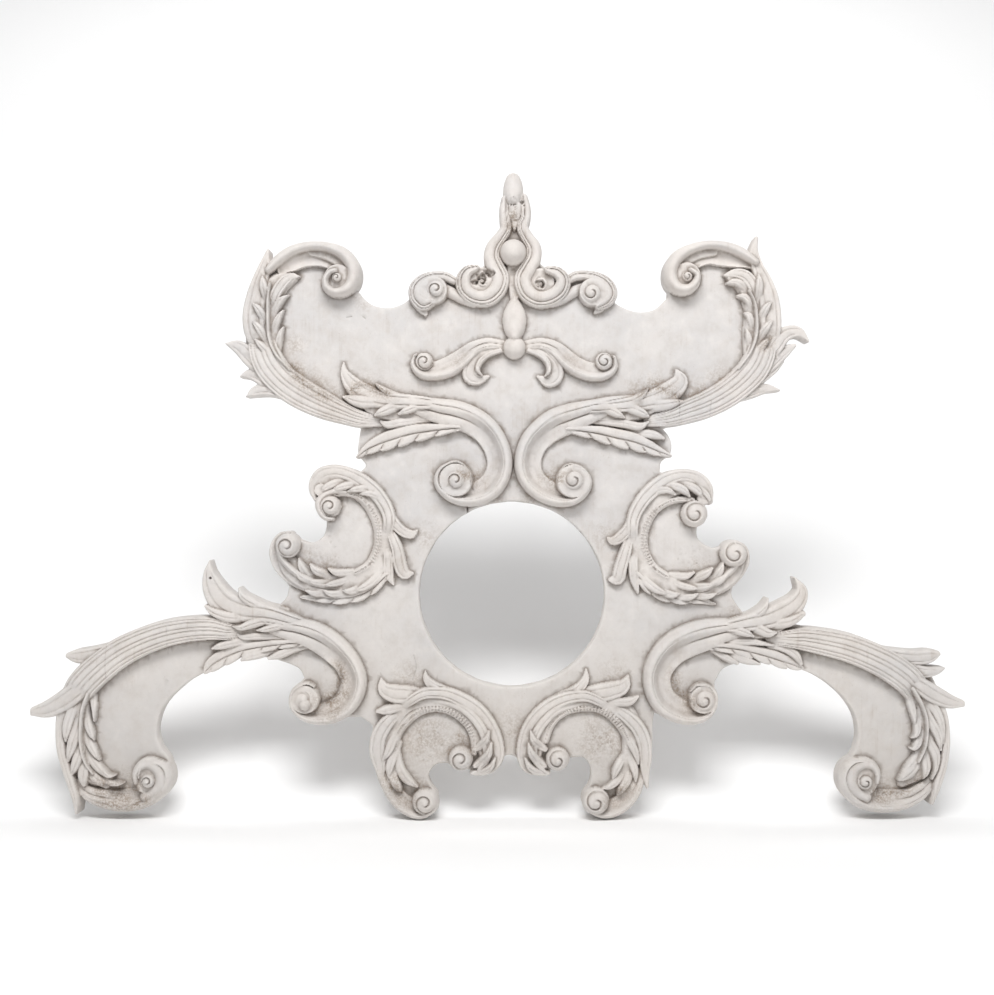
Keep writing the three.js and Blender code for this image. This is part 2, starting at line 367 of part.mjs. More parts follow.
// A closed strand: its section swept along the stations, standing just in front of the back
function strandGeometry(kind, rootCrest, tipCrest, stations) {
  const section = sections[kind];
  const knots = stations.map(([x, z, half]) => new THREE.Vector3(x, half, z).multiplyScalar(layoutScale));
  const path = new THREE.CatmullRomCurve3(knots, false, "centripetal");
  const facetLength = facetLengths[kind] * layoutScale;
  const facets = Math.max(fewestFacets, Math.round(path.getLength() / facetLength));
  const spots = path.getSpacedPoints(facets);
  const ring = section.length + 2;
  const positions = [];
  spots.forEach((spot, index) => {
    const before = spots[Math.max(index - 1, 0)];
    const after = spots[Math.min(index + 1, facets)];
    const run = Math.hypot(after.x - before.x, after.z - before.z);
    const leftX = (before.z - after.z) / run;
    const leftZ = (after.x - before.x) / run;
    const half = Math.max(spot.y, thinnestStrand);
    const crestHeight = depthScale * THREE.MathUtils.lerp(rootCrest, tipCrest, index / facets);
    const place = (across, height) => {
      positions.push(spot.x + across * half * leftX, -height, spot.z + across * half * leftZ);
    };
    place(-1, backReveal);
    section.forEach(([across, share]) => place(across, boardThickness + share * crestHeight));
    place(1, backReveal);
  });
  const indices = [];
  for (let row = 0; row < facets; row += 1) {
    for (let side = 0; side < ring; side += 1) {
      const next = (side + 1) % ring;
      const a = row * ring + side;
      const b = row * ring + next;
      indices.push(a, b, a + ring, b, b + ring, a + ring);
    }
  }
  for (let side = 1; side < ring - 1; side += 1) {
    const last = facets * ring;
    indices.push(0, side + 1, side);
    indices.push(last, last + side, last + side + 1);
  }
  const geometry = new THREE.BufferGeometry();
  geometry.setAttribute("position", new THREE.Float32BufferAttribute(positions, 3));
  geometry.setIndex(indices);
  return geometry;
}

// A round knob on a plain stem, as at the eye of a volute
function knobGeometry(rise, x, z, radius) {
  const height = (share) => boardThickness + share * depthScale * rise;
  const outline = [new THREE.Vector2(0, backReveal), new THREE.Vector2(radius * layoutScale, backReveal)];
  knobRings.forEach(([out, share]) => {
    outline.push(new THREE.Vector2(out * radius * layoutScale, height(share)));
  });
  outline.push(new THREE.Vector2(0, height(1)));
  const geometry = new THREE.LatheGeometry(outline, knobSides);
  geometry.rotateX(Math.PI);
  geometry.translate(x * layoutScale, 0, z * layoutScale);
  return geometry;
}

// The flat board: stretches of edge that show are smooth curves, those under the carving are coarse
function boardGeometry() {
  const outline = [];
  boardEdge.forEach(([look, ...corners]) => {
    const knots = corners.map(([x, z]) => new THREE.Vector2(x, z).multiplyScalar(layoutScale));
    const curve = new THREE.SplineCurve(knots);
    const facet = layoutScale * (look === "bare" ? bareEdgeFacet : coveredEdgeFacet);
    outline.push(...curve.getSpacedPoints(Math.max(1, Math.round(curve.getLength() / facet))));
  });
  const shape = new THREE.Shape(outline);
  const opening = new THREE.Path();
  opening.absarc(0, 0, openingDiameter / 2, 0, 2 * Math.PI, false);
  shape.holes.push(opening);
  const settings = { depth: boardThickness, bevelEnabled: false, curveSegments: openingFacets / 2 };
  const geometry = new THREE.ExtrudeGeometry(shape, settings);
  geometry.rotateX(Math.PI / 2);
  return geometry;
}

const wasm = await Module();
wasm.setup();

// A solid from a closed mesh, turned right side out if its faces look inwards
function solidFrom(source) {
  const bare = source.clone();
  bare.deleteAttribute("normal");
  bare.deleteAttribute("uv");
  const merged = mergeVertices(bare, mergeDistance);
  const vertProperties = new Float32Array(merged.attributes.position.array);
  const triVerts = new Uint32Array(merged.index.array);
  if (signedVolume(vertProperties, triVerts) < 0) {
    for (let corner = 0; corner < triVerts.length; corner += 3) {
      [triVerts[corner + 1], triVerts[corner + 2]] = [triVerts[corner + 2], triVerts[corner + 1]];
    }
  }
  return new wasm.Manifold(new wasm.Mesh({ numProp: 3, vertProperties, triVerts }));
}

function signedVolume(positions, indices) {
  const corner = (index) => new THREE.Vector3().fromArray(positions, 3 * indices[index]);
  let volume = 0;
  for (let index = 0; index < indices.length; index += 3) {
    volume += corner(index).dot(corner(index + 1).cross(corner(index + 2))) / 6;
  }
  return volume;
}

// Where two strands meet, the seam leaves many short edges. Each is closed up, one end drawn into
// the other, where the faces around it stay within the tolerance and none folds over.
function closeShortEdges(positions, indices) {
  const points = [];
  for (let at = 0; at < positions.length; at += 3) {
    points.push(new THREE.Vector3().fromArray(positions, at));
  }
  const faces = [];
  const facesAt = points.map(() => new Set());
  for (let at = 0; at < indices.length; at += 3) {
    const face = [...indices.slice(at, at + 3)];
    face.forEach((corner) => facesAt[corner].add(face));
    faces.push(face);
  }
  const isOpen = (face) => new Set(face).size === 3;
  const around = (point) => new Set([...facesAt[point]].flat().filter((other) => other !== point));
  const areaOf = ([a, b, c]) => {
    const side = points[b].clone().sub(points[a]);
    return side.cross(points[c].clone().sub(points[a]));
  };
  const canClose = (from, to) => {
    const shared = around(to);
    if ([...around(from)].filter((other) => shared.has(other)).length !== 2) return false;
    const step = points[to].clone().sub(points[from]);
    return [...facesAt[from]].filter((face) => !face.includes(to)).every((face) => {
      const before = areaOf(face).normalize();
      const after = areaOf(face.map((corner) => (corner === from ? to : corner))).normalize();
      return before.dot(after) > foldLimit && Math.abs(before.dot(step)) < seamTolerance * layoutScale;
    });
  };
  const close = (from, to) => {
    facesAt[from].forEach((face) => {
      face.splice(face.indexOf(from), 1, to);
      if (isOpen(face)) facesAt[to].add(face);
      else new Set(face).forEach((corner) => facesAt[corner].delete(face));
    });
    facesAt[from].clear();
  };
  let closed = true;
  while (closed) {
    closed = false;
    const edges = [];
    faces.filter(isOpen).forEach((face) => face.forEach((from, side) => {
      const to = face[(side + 1) % 3];
      const length = points[from].distanceTo(points[to]);
      if (length < shortEdge * layoutScale) edges.push([length, from, to]);
    }));
    edges.sort(([first], [second]) => first - second);
    edges.forEach(([, from, to]) => {
      if (facesAt[to].size === 0 || !around(from).has(to) || !canClose(from, to)) return;
      close(from, to);
      closed = true;
    });
  }
  return faces.filter(isOpen).flat();
}

// Board and carving joined into one body
function carve() {
  let body = solidFrom(boardGeometry());
  motifs.flat().forEach(([kind, rootCrest, tipCrest, ...stations]) => {
    const piece = kind === "knob"
      ? knobGeometry(rootCrest, ...stations[0])
      : strandGeometry(kind, rootCrest, tipCrest, stations);
    body = body.add(solidFrom(piece));
  });
  const { vertProperties, triVerts } = body.getMesh();
  const geometry = new THREE.BufferGeometry();
  geometry.setAttribute("position", new THREE.Float32BufferAttribute(vertProperties, 3));
  geometry.setIndex(new THREE.Uint32BufferAttribute(triVerts, 1));
  const joined = mergeVertices(geometry, mergeDistance);
  joined.setIndex(closeShortEdges(joined.attributes.position.array, joined.index.array));
  const closed = mergeVertices(joined.toNonIndexed(), mergeDistance);
  closed.computeVertexNormals();
  return closed;
}

const paintedWood = new THREE.MeshStandardMaterial({ color: paintColour, roughness: 0.85, metalness: 0 });
const headpiece = new THREE.Mesh(carve(), paintedWood);
headpiece.name = "headpiece";
headpiece.position.set(0, 0, -fixingHeight * layoutScale);

const group = new THREE.Group();
group.add(headpiece);

export default group;
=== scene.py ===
"""Carved headpiece: the finished look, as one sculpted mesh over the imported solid. Metres, Z up."""

import math

import bmesh
import bpy
import numpy as np
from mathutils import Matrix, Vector
from mathutils.geometry import delaunay_2d_cdt


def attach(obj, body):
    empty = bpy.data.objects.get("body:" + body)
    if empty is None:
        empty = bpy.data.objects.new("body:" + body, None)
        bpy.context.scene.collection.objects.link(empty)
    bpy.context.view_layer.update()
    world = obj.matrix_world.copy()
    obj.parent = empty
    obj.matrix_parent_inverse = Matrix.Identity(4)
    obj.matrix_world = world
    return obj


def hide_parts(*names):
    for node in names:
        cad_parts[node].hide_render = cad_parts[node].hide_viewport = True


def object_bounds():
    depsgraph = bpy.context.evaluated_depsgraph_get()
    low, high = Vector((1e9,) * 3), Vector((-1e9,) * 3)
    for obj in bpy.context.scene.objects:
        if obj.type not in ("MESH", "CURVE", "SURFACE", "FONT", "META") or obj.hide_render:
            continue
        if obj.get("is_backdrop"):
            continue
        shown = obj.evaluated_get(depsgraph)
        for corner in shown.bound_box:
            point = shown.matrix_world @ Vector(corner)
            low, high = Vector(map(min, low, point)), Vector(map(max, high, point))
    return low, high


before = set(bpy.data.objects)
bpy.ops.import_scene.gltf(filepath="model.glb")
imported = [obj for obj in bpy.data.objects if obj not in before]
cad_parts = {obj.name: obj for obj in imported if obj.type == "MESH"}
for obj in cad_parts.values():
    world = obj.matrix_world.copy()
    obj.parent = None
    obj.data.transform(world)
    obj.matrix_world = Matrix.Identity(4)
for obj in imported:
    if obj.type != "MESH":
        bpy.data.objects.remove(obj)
cad_low, cad_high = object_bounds()

MM = 0.001

# Sizes of the panel, in millimetres, as in the part's source
BOARD = 32.0
OPENING_RADIUS = 149.5
FIXING_HEIGHT = 272.0

# The sculpting grid over the layout, in millimetres, and the triangles kept after thinning
CELL = 1.3
GRID_X = (-778.0, 733.0)
GRID_Z = (-368.0, 682.0)
TRIANGLES_KEPT = 190000

# Layout, as drawn, in millimetres. A strand is its section, the height of its crest above the ground
# at the root and at the tip, and stations of [x, z, half width], from the centre of the opening.
LEFT_WING = [
  ["reeds", 20, 20, [-402, 418, 21], [-398, 392, 25], [-387, 366, 26.5], [-366, 342, 25.5], [-339, 323, 25],
    [-306, 306, 22.5], [-272, 292, 17.5], [-243, 282, 13.5], [-211, 278, 8]],
  ["cove", 12, 12, [-370, 520, 6.5], [-354, 528, 10.5], [-333, 537, 12], [-310, 538, 11.5],
    [-293, 533, 10.5], [-280, 523, 9.5], [-277, 510, 9.5]],
  ["blade", 20, 8, [-397, 354, 9.5], [-418, 378, 13.5], [-438, 397, 11], [-459, 403, 1.5]],
  ["blade", 18, 8, [-386, 333, 9], [-405, 349, 11], [-421, 354, 8], [-436, 350, 1.5]],
  ["blade", 18, 8, [-365, 322, 9], [-390, 329, 10.5], [-410, 327, 9], [-426, 318, 1.5]],
  ["blade", 20, 12, [-400, 392, 13], [-411, 419, 17.5], [-414, 445, 18.5], [-411, 470, 17.5],
    [-405, 498, 14.5], [-398, 523, 10.5], [-391, 552, 2.5]],
  ["lobe", 26, 20, [-389, 459, 5], [-394, 480, 8], [-397, 496, 7.5], [-399, 509, 2]],
  ["lobe", 25, 19, [-390, 427, 5], [-398, 445, 8], [-406, 458, 7], [-414, 466, 2]],
  ["lobe", 24, 18, [-389, 398, 5], [-398, 416, 8], [-406, 429, 7], [-415, 438, 2]],
  ["lobe", 23, 17, [-381, 373, 5], [-392, 389, 7.5], [-402, 400, 6.5], [-410, 408, 2]],
  ["blade", 22, 12, [-386, 453, 6.5], [-379, 480, 9], [-366, 501, 9.5], [-354, 510, 6.5], [-341, 510, 1.5]],
  ["lobe", 18, 8, [-386, 434, 6.5], [-379, 458, 7], [-370, 472, 5.5], [-358, 480, 1.5]],
  ["lobe", 18, 8, [-384, 408, 5.5], [-379, 432, 7], [-373, 446, 5], [-366, 456, 1.5]],
  ["lobe", 18, 8, [-378, 382, 6.5], [-374, 405, 6.5], [-371, 418, 5], [-366, 429, 1.5]],
  ["roll", 26, 24, [-387, 498, 2.5], [-390, 472, 3], [-390, 440, 3.5], [-388, 411, 3.5], [-378, 386, 3.5],
    [-355, 360, 3]],
  ["roll", 24, 32, [-390, 520, 6.5], [-376, 534, 9.5], [-354, 550, 9.5], [-325, 558, 8.5], [-293, 556, 9],
    [-268, 544, 11], [-254, 523, 11.5], [-255, 502, 11.5], [-266, 488, 10], [-283, 484, 8],
    [-296, 492, 7.5], [-298, 504, 6.5], [-291, 515, 6], [-282, 518, 5]],
  ["curl", 30, 30, [-280, 507, 9]],
  ["base", 11, 11, [-352, 509, 8.5], [-378, 496, 19], [-390, 464, 19], [-390, 424, 19], [-379, 389, 8.5]],
  ["disc", 17, 17, [-279, 507, 24]],
  ["base", 11, 11, [-272, 522, 8], [-280, 536, 10.5], [-298, 546, 10.5], [-320, 550, 8]],
]

LEFT_SCROLL = [
  ["scrollLeft", 24, 30, [-192, 314, 6.5], [-163, 307, 13], [-138, 300, 17.5], [-115, 294, 21],
    [-94, 290, 23], [-70, 282, 23], [-46, 267, 22.5], [-29, 245, 21.5], [-20, 219, 21], [-22, 195, 21],
    [-35, 174, 21], [-56, 162, 20], [-80, 160, 18], [-101, 167, 15], [-113, 182, 13], [-111, 197, 9.5],
    [-101, 206, 7], [-90, 210, 6], [-77, 205, 4], [-69, 194, 2.5]],
  ["curl", 36, 36, [-90, 184, 17.5]],
  ["fringedLeft", 18, 10, [-86, 267, 5], [-112, 265, 9.5], [-136, 262, 13], [-162, 258, 15.5],
    [-190, 250, 16], [-213, 242, 13.5], [-234, 232, 8], [-248, 221, 2.5]],
  ["lobe", 17, 9, [-115, 282, 5], [-147, 280, 6.5], [-179, 276, 8], [-200, 273, 6.5], [-210, 278, 2.5]],
  ["blade", 28, 10, [-104, 303, 3], [-128, 306, 9.5], [-171, 309, 13], [-208, 312, 15], [-238, 322, 17],
    [-258, 339, 13], [-269, 357, 6.5], [-270, 372, 1.5]],
  ["lobe", 22, 8, [-166, 314, 5.5], [-192, 321, 6.5], [-208, 330, 5], [-218, 338, 1.5]],
  ["lobe", 24, 12, [-192, 310, 6.5], [-219, 308, 10], [-246, 310, 11.5], [-270, 317, 2.5]],
  ["lobe", 25, 12, [-163, 309, 6.5], [-186, 302, 9.5], [-205, 294, 9], [-219, 288, 2.5]],
  ["lobe", 25, 12, [-122, 307, 5], [-149, 302, 7.5], [-168, 295, 7], [-181, 290, 2.5]],
  ["base", 12, 12, [-107, 286, 8], [-155, 293, 17.5], [-195, 294, 17.5], [-230, 299, 8]],
  ["disc", 27, 27, [-90, 184, 29]],
]

LEFT_MID = [
  ["fringedLeft", 13, 8, [-202, 30, 6.5], [-224, 10, 9.5], [-250, -2, 10.5], [-278, -6, 10], [-307, -5, 8],
    [-338, -4, 2.5]],
  ["scrollRight", 14, 26, [-275, 8, 8], [-314, 14, 12], [-342, 24, 14], [-363, 40, 14.5], [-376, 59, 13],
    [-379, 78, 9.5], [-371, 93, 7], [-357, 96, 6.5]],
  ["curl", 34, 34, [-359, 79, 20]],
  ["beaded", 13, 13, [-285, 161, 5], [-267, 163, 5.5], [-246, 158, 6.5], [-230, 144, 7], [-218, 125, 7],
    [-213, 102, 7.5], [-214, 78, 7.5], [-220, 59, 7.5], [-232, 46, 7], [-251, 35, 6]],
  ["blade", 22, 8, [-202, 88, 8], [-197, 125, 10.5], [-213, 157, 12], [-237, 179, 12.5], [-262, 193, 11],
    [-286, 198, 11], [-307, 192, 11], [-318, 179, 8], [-320, 166, 5.5], [-315, 152, 3]],
  ["lobe", 20, 9, [-264, 184, 5], [-286, 178, 7.5], [-299, 171, 6], [-304, 165, 2]],
  ["lobe", 21, 9, [-237, 178, 5], [-261, 176, 7.5], [-275, 172, 6.5], [-286, 168, 2.5]],
  ["lobe", 21, 9, [-211, 162, 5], [-234, 170, 7.5], [-250, 169, 6], [-262, 166, 2]],
  ["lobe", 20, 9, [-195, 133, 5], [-210, 154, 7.5], [-226, 162, 6.5], [-243, 162, 2.5]],
  ["roll", 16, 24, [-267, 165, 5], [-286, 166, 6.5], [-302, 158, 7.5], [-309, 146, 7.5], [-306, 133, 6.5],
    [-298, 124, 5.5], [-286, 122, 3]],
  ["curl", 32, 32, [-291, 142, 17.5]],
  ["blade", 20, 8, [-198, 133, 6.5], [-186, 112, 8.5], [-171, 99, 8], [-160, 97, 6.5], [-152, 103, 1.5]],
  ["blade", 22, 10, [-198, 107, 6.5], [-184, 74, 10], [-180, 50, 11], [-173, 34, 9.5], [-160, 34, 3]],
  ["blade", 19, 8, [-202, 83, 6.5], [-198, 56, 8], [-198, 34, 8.5], [-190, 16, 1.5]],
  ["lobe", 20, 16, [-320, 22, 4], [-330, 34, 7.5], [-337, 46, 6.5], [-341, 58, 2]],
  ["lobe", 21, 17, [-288, 27, 4], [-301, 33, 7.5], [-314, 39, 7], [-323, 49, 2]],
  ["lobe", 20, 16, [-256, 38, 4], [-269, 35, 6.5], [-282, 36, 6], [-294, 42, 2]],
  ["lobe", 19, 15, [-309, 19, 4], [-325, 24, 7], [-338, 30, 7], [-347, 41, 2]],
  ["lobe", 20, 16, [-282, 18, 4], [-296, 18, 7], [-312, 20, 6.5], [-326, 23, 2]],
  ["lobe", 20, 16, [-256, 27, 4], [-270, 22, 6.5], [-286, 18, 6], [-301, 15, 2]],
  ["lobe", 18, 15, [-293, 4, 4], [-306, 2, 6.5], [-318, 3, 5.5], [-330, 7, 2]],
  ["lobe", 19, 15, [-264, 5, 4], [-277, 2, 6.5], [-290, 2, 6], [-301, 7, 2]],
  ["lobe", 19, 15, [-234, 17, 4.5], [-246, 10, 7.5], [-259, 6, 6.5], [-270, 7, 2]],
  ["lobe", 20, 16, [-206, 46, 6.5], [-216, 29, 8.5], [-234, 14, 7.5], [-253, 6, 2.5]],
  ["base", 10, 10, [-304, 184, 8.5], [-259, 181, 19], [-224, 152, 19], [-205, 112, 19], [-205, 72, 19],
    [-224, 37, 19], [-267, 18, 19], [-315, 19, 19], [-352, 40, 19], [-371, 69, 8.5]],
  ["disc", 15, 15, [-306, 168, 11]],
]

LEFT_ARM = [
  ["reeds", 22, 20, [-427, -59, 9.5], [-454, -58, 14.5], [-480, -54, 18.5], [-515, -55, 20],
    [-555, -62, 21.5], [-595, -76, 22.5], [-630, -94, 24], [-662, -118, 25], [-688, -144, 25],
    [-706, -171, 22.5]],
  ["blade", 20, 9, [-614, -80, 8], [-648, -89, 11], [-677, -97, 12.5], [-698, -99, 11], [-712, -98, 5]],
  ["blade", 22, 9, [-653, -120, 13], [-688, -147, 17.5], [-718, -170, 17], [-746, -184, 13.5],
    [-771, -188, 6.5]],
  ["scrollLeft", 24, 30, [-419, -42, 6.5], [-394, -47, 11], [-368, -53, 16], [-339, -58, 21],
    [-309, -70, 23.5], [-282, -90, 23.5], [-263, -112, 22], [-254, -136, 22], [-259, -160, 21.5],
    [-272, -178, 20], [-293, -189, 19], [-315, -192, 16.5], [-334, -186, 14.5], [-346, -174, 12],
    [-346, -158, 9.5], [-338, -149, 7], [-327, -144, 6], [-318, -147, 4]],
  ["curl", 30, 30, [-332, -166, 24]],
  ["knob", 38, 38, [-330, -174, 13]],
  ["fringedLeft", 16, 8, [-339, -77, 6.5], [-358, -78, 7.5], [-400, -83, 10], [-435, -90, 12.5],
    [-464, -102, 14], [-483, -114, 11], [-493, -125, 3]],
  ["lobe", 13, 6, [-379, -88, 5], [-406, -95, 8], [-424, -100, 6.5], [-434, -105, 2.5]],
  ["lobe", 13, 6, [-320, -80, 4], [-352, -88, 6.5], [-373, -96, 7.5], [-390, -102, 3]],
  ["lobe", 17, 9, [-336, -62, 5], [-378, -66, 6.5], [-411, -66, 7], [-432, -67, 5.5], [-442, -60, 2]],
  ["lobe", 17, 9, [-400, -74, 5], [-435, -75, 7.5], [-464, -81, 7.5], [-480, -86, 2.5]],
  ["blade", 28, 10, [-325, -48, 3], [-346, -42, 9.5], [-390, -30, 14.5], [-432, -25, 19], [-462, -13, 21.5],
    [-479, 10, 17.5], [-486, 34, 9], [-485, 54, 1.5]],
  ["lobe", 22, 8, [-362, -27, 6.5], [-394, -21, 8], [-418, -11, 8.5], [-431, -2, 6.5], [-437, 11, 1.5]],
  ["lobe", 24, 12, [-400, -34, 6.5], [-427, -36, 9.5], [-454, -35, 10.5], [-477, -27, 8], [-490, -18, 3]],
  ["lobe", 26, 12, [-362, -38, 5], [-390, -40, 8.5], [-416, -46, 9], [-434, -52, 5.5], [-446, -50, 1.5]],
  ["lobe", 26, 12, [-330, -48, 5], [-355, -46, 6.5], [-379, -51, 7.5], [-397, -55, 5], [-408, -56, 1.5]],
  ["base", 12, 12, [-323, -62, 8], [-371, -58, 17.5], [-419, -54, 17.5], [-454, -46, 8]],
  ["disc", 26, 26, [-331, -166, 25]],
]

LEFT_FOOT = [
  ["lobe", 18, 7, [-710, -166, 9.5], [-722, -194, 9.5], [-725, -224, 8.5], [-722, -251, 8.5],
    [-714, -277, 8.5], [-706, -302, 7.5], [-699, -326, 6.5], [-698, -350, 2.5]],
  ["lobe", 20, 10, [-698, -166, 9.5], [-707, -192, 10], [-712, -214, 9], [-714, -234, 2.5]],
  ["lobe", 21, 10, [-688, -178, 8], [-697, -216, 10], [-704, -242, 10], [-710, -266, 2.5]],
  ["lobe", 21, 10, [-690, -224, 6.5], [-692, -251, 10], [-699, -274, 8.5], [-704, -286, 2.5]],
  ["lobe", 20, 10, [-686, -248, 6.5], [-684, -270, 10], [-686, -290, 10], [-685, -304, 4]],
  ["lobe", 19, 10, [-682, -270, 6.5], [-669, -291, 9], [-656, -299, 8], [-643, -298, 2.5]],
  ["scrollRight", 12, 28, [-701, -301, 6.5], [-682, -318, 11], [-659, -326, 15.5], [-627, -331, 18],
    [-598, -326, 19], [-576, -314, 19.5], [-562, -297, 18.5], [-562, -280, 14.5], [-574, -273, 11],
    [-586, -277, 9], [-592, -288, 7]],
  ["curl", 32, 32, [-581, -297, 13.5]],
  ["lobe", 17, 7, [-675, -152, 8], [-671, -171, 6], [-669, -187, 4], [-669, -202, 1.5]],
  ["lobe", 18, 8, [-685, -184, 6.5], [-680, -206, 7], [-674, -221, 6], [-669, -232, 1.5]],
  ["lobe", 18, 8, [-685, -213, 6.5], [-678, -235, 7.5], [-669, -251, 6.5], [-661, -264, 2]],
  ["lobe", 18, 8, [-683, -240, 6.5], [-674, -262, 8], [-661, -278, 7.5], [-643, -294, 2]],
  ["roll", 24, 20, [-678, -158, 4], [-687, -184, 4], [-690, -216, 3.5], [-689, -245, 3.5], [-682, -269, 3],
    [-670, -286, 2.5]],
  ["base", 10, 10, [-685, -168, 8], [-694, -208, 17.5], [-696, -245, 17.5], [-683, -280, 17.5],
    [-651, -304, 8]],
  ["disc", 20, 20, [-581, -296, 24]],
  ["roll", 24, 27, [-586, -323, 10.5], [-570, -313, 13], [-561, -296, 14], [-566, -279, 13],
    [-581, -270, 11], [-594, -275, 9], [-601, -286, 7.5], [-600, -299, 5]],
  ["lobe", 24, 12, [-666, -270, 5], [-654, -283, 6], [-643, -289, 4], [-634, -288, 1.5]],
  ["lobe", 25, 12, [-659, -283, 5], [-646, -298, 6], [-632, -302, 4], [-622, -301, 1.5]],
]

LEFT_BOTTOM = [
  ["blade", 18, 8, [-141, -163, 10.5], [-166, -160, 14.5], [-189, -159, 15], [-205, -152, 10.5],
    [-210, -136, 2.5]],
  ["lobe", 16, 8, [-160, -176, 5.5], [-182, -181, 7.5], [-202, -185, 8], [-216, -187, 3]],
  ["beaded", 11, 12, [-186, -240, 5], [-181, -219, 7.5], [-166, -200, 8], [-147, -187, 7.5],
    [-125, -182, 6.5], [-101, -186, 6.5], [-81, -198, 7], [-67, -214, 7], [-61, -234, 6.5], [-61, -253, 6]],
  ["blade", 20, 8, [-182, -187, 5], [-165, -171, 8], [-141, -158, 9.5], [-107, -158, 10.5], [-78, -170, 12],
    [-54, -187, 12.5], [-36, -211, 12.5], [-26, -237, 12.5], [-24, -261, 11], [-34, -278, 8.5],
    [-51, -288, 3]],
  ["blade", 18, 7, [-106, -155, 8], [-125, -147, 8.5], [-137, -136, 6], [-139, -123, 1.5]],
  ["lobe", 18, 8, [-176, -189, 3], [-162, -178, 5], [-141, -168, 5.5], [-107, -170, 8], [-80, -181, 8.5],
    [-58, -200, 9], [-44, -224, 9], [-40, -248, 8], [-42, -267, 6.5], [-54, -280, 2.5]],
  ["blade", 18, 8, [-176, -186, 7], [-198, -203, 11.5], [-213, -227, 13], [-216, -253, 13],
    [-211, -277, 9.5], [-210, -299, 3]],
  ["scrollRight", 10, 24, [-211, -272, 6.5], [-202, -298, 11], [-187, -322, 14.5], [-168, -339, 15],
    [-147, -346, 15], [-130, -338, 13]],
  ["curl", 34, 34, [-139, -331, 21]],
  ["curl", 32, 32, [-82, -262, 19.5]],
  ["lobe", 16, 8, [-174, -206, 5.5], [-189, -230, 8.5], [-198, -251, 7.5], [-206, -264, 2.5]],
  ["lobe", 16, 8, [-181, -238, 5.5], [-191, -261, 8.5], [-196, -278, 7.5], [-197, -293, 2.5]],
  ["lobe", 16, 8, [-184, -270, 6.5], [-190, -291, 9], [-184, -306, 8], [-179, -314, 3]],
  ["lobe", 17, 8, [-184, -251, 5.5], [-180, -277, 8], [-170, -294, 8.5], [-152, -307, 3]],
  ["base", 9, 9, [-182, -280, 8], [-198, -248, 17.5], [-195, -208, 17.5], [-171, -176, 17.5],
    [-131, -165, 17.5], [-91, -171, 17.5], [-59, -197, 17.5], [-43, -235, 17.5], [-43, -264, 8]],
  ["lobe", 24, 12, [-59, -248, 5], [-51, -242, 8], [-42, -232, 7], [-37, -218, 2]],
  ["lobe", 26, 12, [-59, -274, 5], [-48, -267, 8], [-38, -254, 7.5], [-33, -237, 2]],
  ["lobe", 24, 12, [-64, -286, 4], [-48, -284, 6.5], [-35, -276, 6], [-27, -261, 2]],
]

CREST = [
  ["base", 9, 8, [3, 542, 13], [3, 512, 12], [4, 478, 8]],
  ["roll", 14, 12, [-61, 467, 6.5], [-80, 475, 8], [-99, 486, 9], [-114, 493, 9.5]],
  ["roll", 14, 12, [64, 467, 6.5], [82, 475, 8], [98, 486, 9], [112, 491, 9.5]],
  ["ribbedRight", 16, 22, [-93, 504, 6.5], [-106, 510, 8], [-123, 511, 8.5], [-141, 505, 10.5],
    [-153, 492, 12], [-153, 477, 12], [-142, 466, 12], [-130, 469, 8]],
  ["blade", 14, 8, [-154, 475, 6.5], [-147, 464, 9.5], [-139, 451, 4]],
  ["curl", 28, 28, [-122, 489, 16]],
  ["ribbedLeft", 16, 22, [90, 504, 6.5], [101, 511, 8], [118, 512, 8.5], [138, 507, 10.5], [152, 496, 12.5],
    [158, 482, 11.5], [151, 469, 9.5], [139, 462, 6.5]],
  ["blade", 14, 8, [154, 472, 6.5], [142, 461, 7], [133, 452, 2]],
  ["curl", 28, 28, [127, 483, 17.5]],
  ["lobe", 18, 20, [4, 587, 3], [5, 610, 11], [4, 629, 12], [2, 640, 11]],
  ["roll", 26, 14, [2, 634, 12], [2, 643, 16], [2, 654, 15.5], [2, 666, 11.5], [2, 675, 4]],
  ["ribbedLeft", 16, 26, [-11, 634, 6.5], [-12, 618, 8.5], [-11, 602, 9], [-10, 587, 9.5], [-19, 572, 10.5],
    [-29, 557, 12.5], [-32, 541, 13.5], [-26, 525, 14.5], [-18, 507, 14.5], [-24, 488, 14.5],
    [-41, 475, 14], [-62, 477, 13], [-76, 489, 12.5], [-78, 506, 12], [-71, 518, 10], [-58, 523, 6.5]],
  ["ribbedRight", 16, 26, [19, 637, 6.5], [22, 621, 8], [22, 605, 8.5], [17, 589, 9.5], [25, 572, 10.5],
    [34, 557, 12.5], [34, 540, 13], [25, 523, 14], [17, 506, 14.5], [23, 485, 14.5], [42, 473, 14],
    [62, 476, 14], [78, 488, 13.5], [82, 504, 12], [73, 516, 10], [58, 520, 7]],
  ["curl", 17, 17, [-48, 502, 12]],
  ["curl", 19, 19, [46, 499, 13]],
  ["knob", 40, 40, [2, 548, 22]],
  ["roll", 12, 24, [4, 477, 3], [4, 462, 12], [4, 445, 19], [4, 429, 17.5], [4, 414, 9.5]],
  ["disc", 12, 12, [-48, 502, 24]],
  ["disc", 12, 12, [46, 501, 24]],
  ["disc", 19, 19, [-126, 488, 24]],
  ["disc", 19, 19, [130, 485, 24]],
]

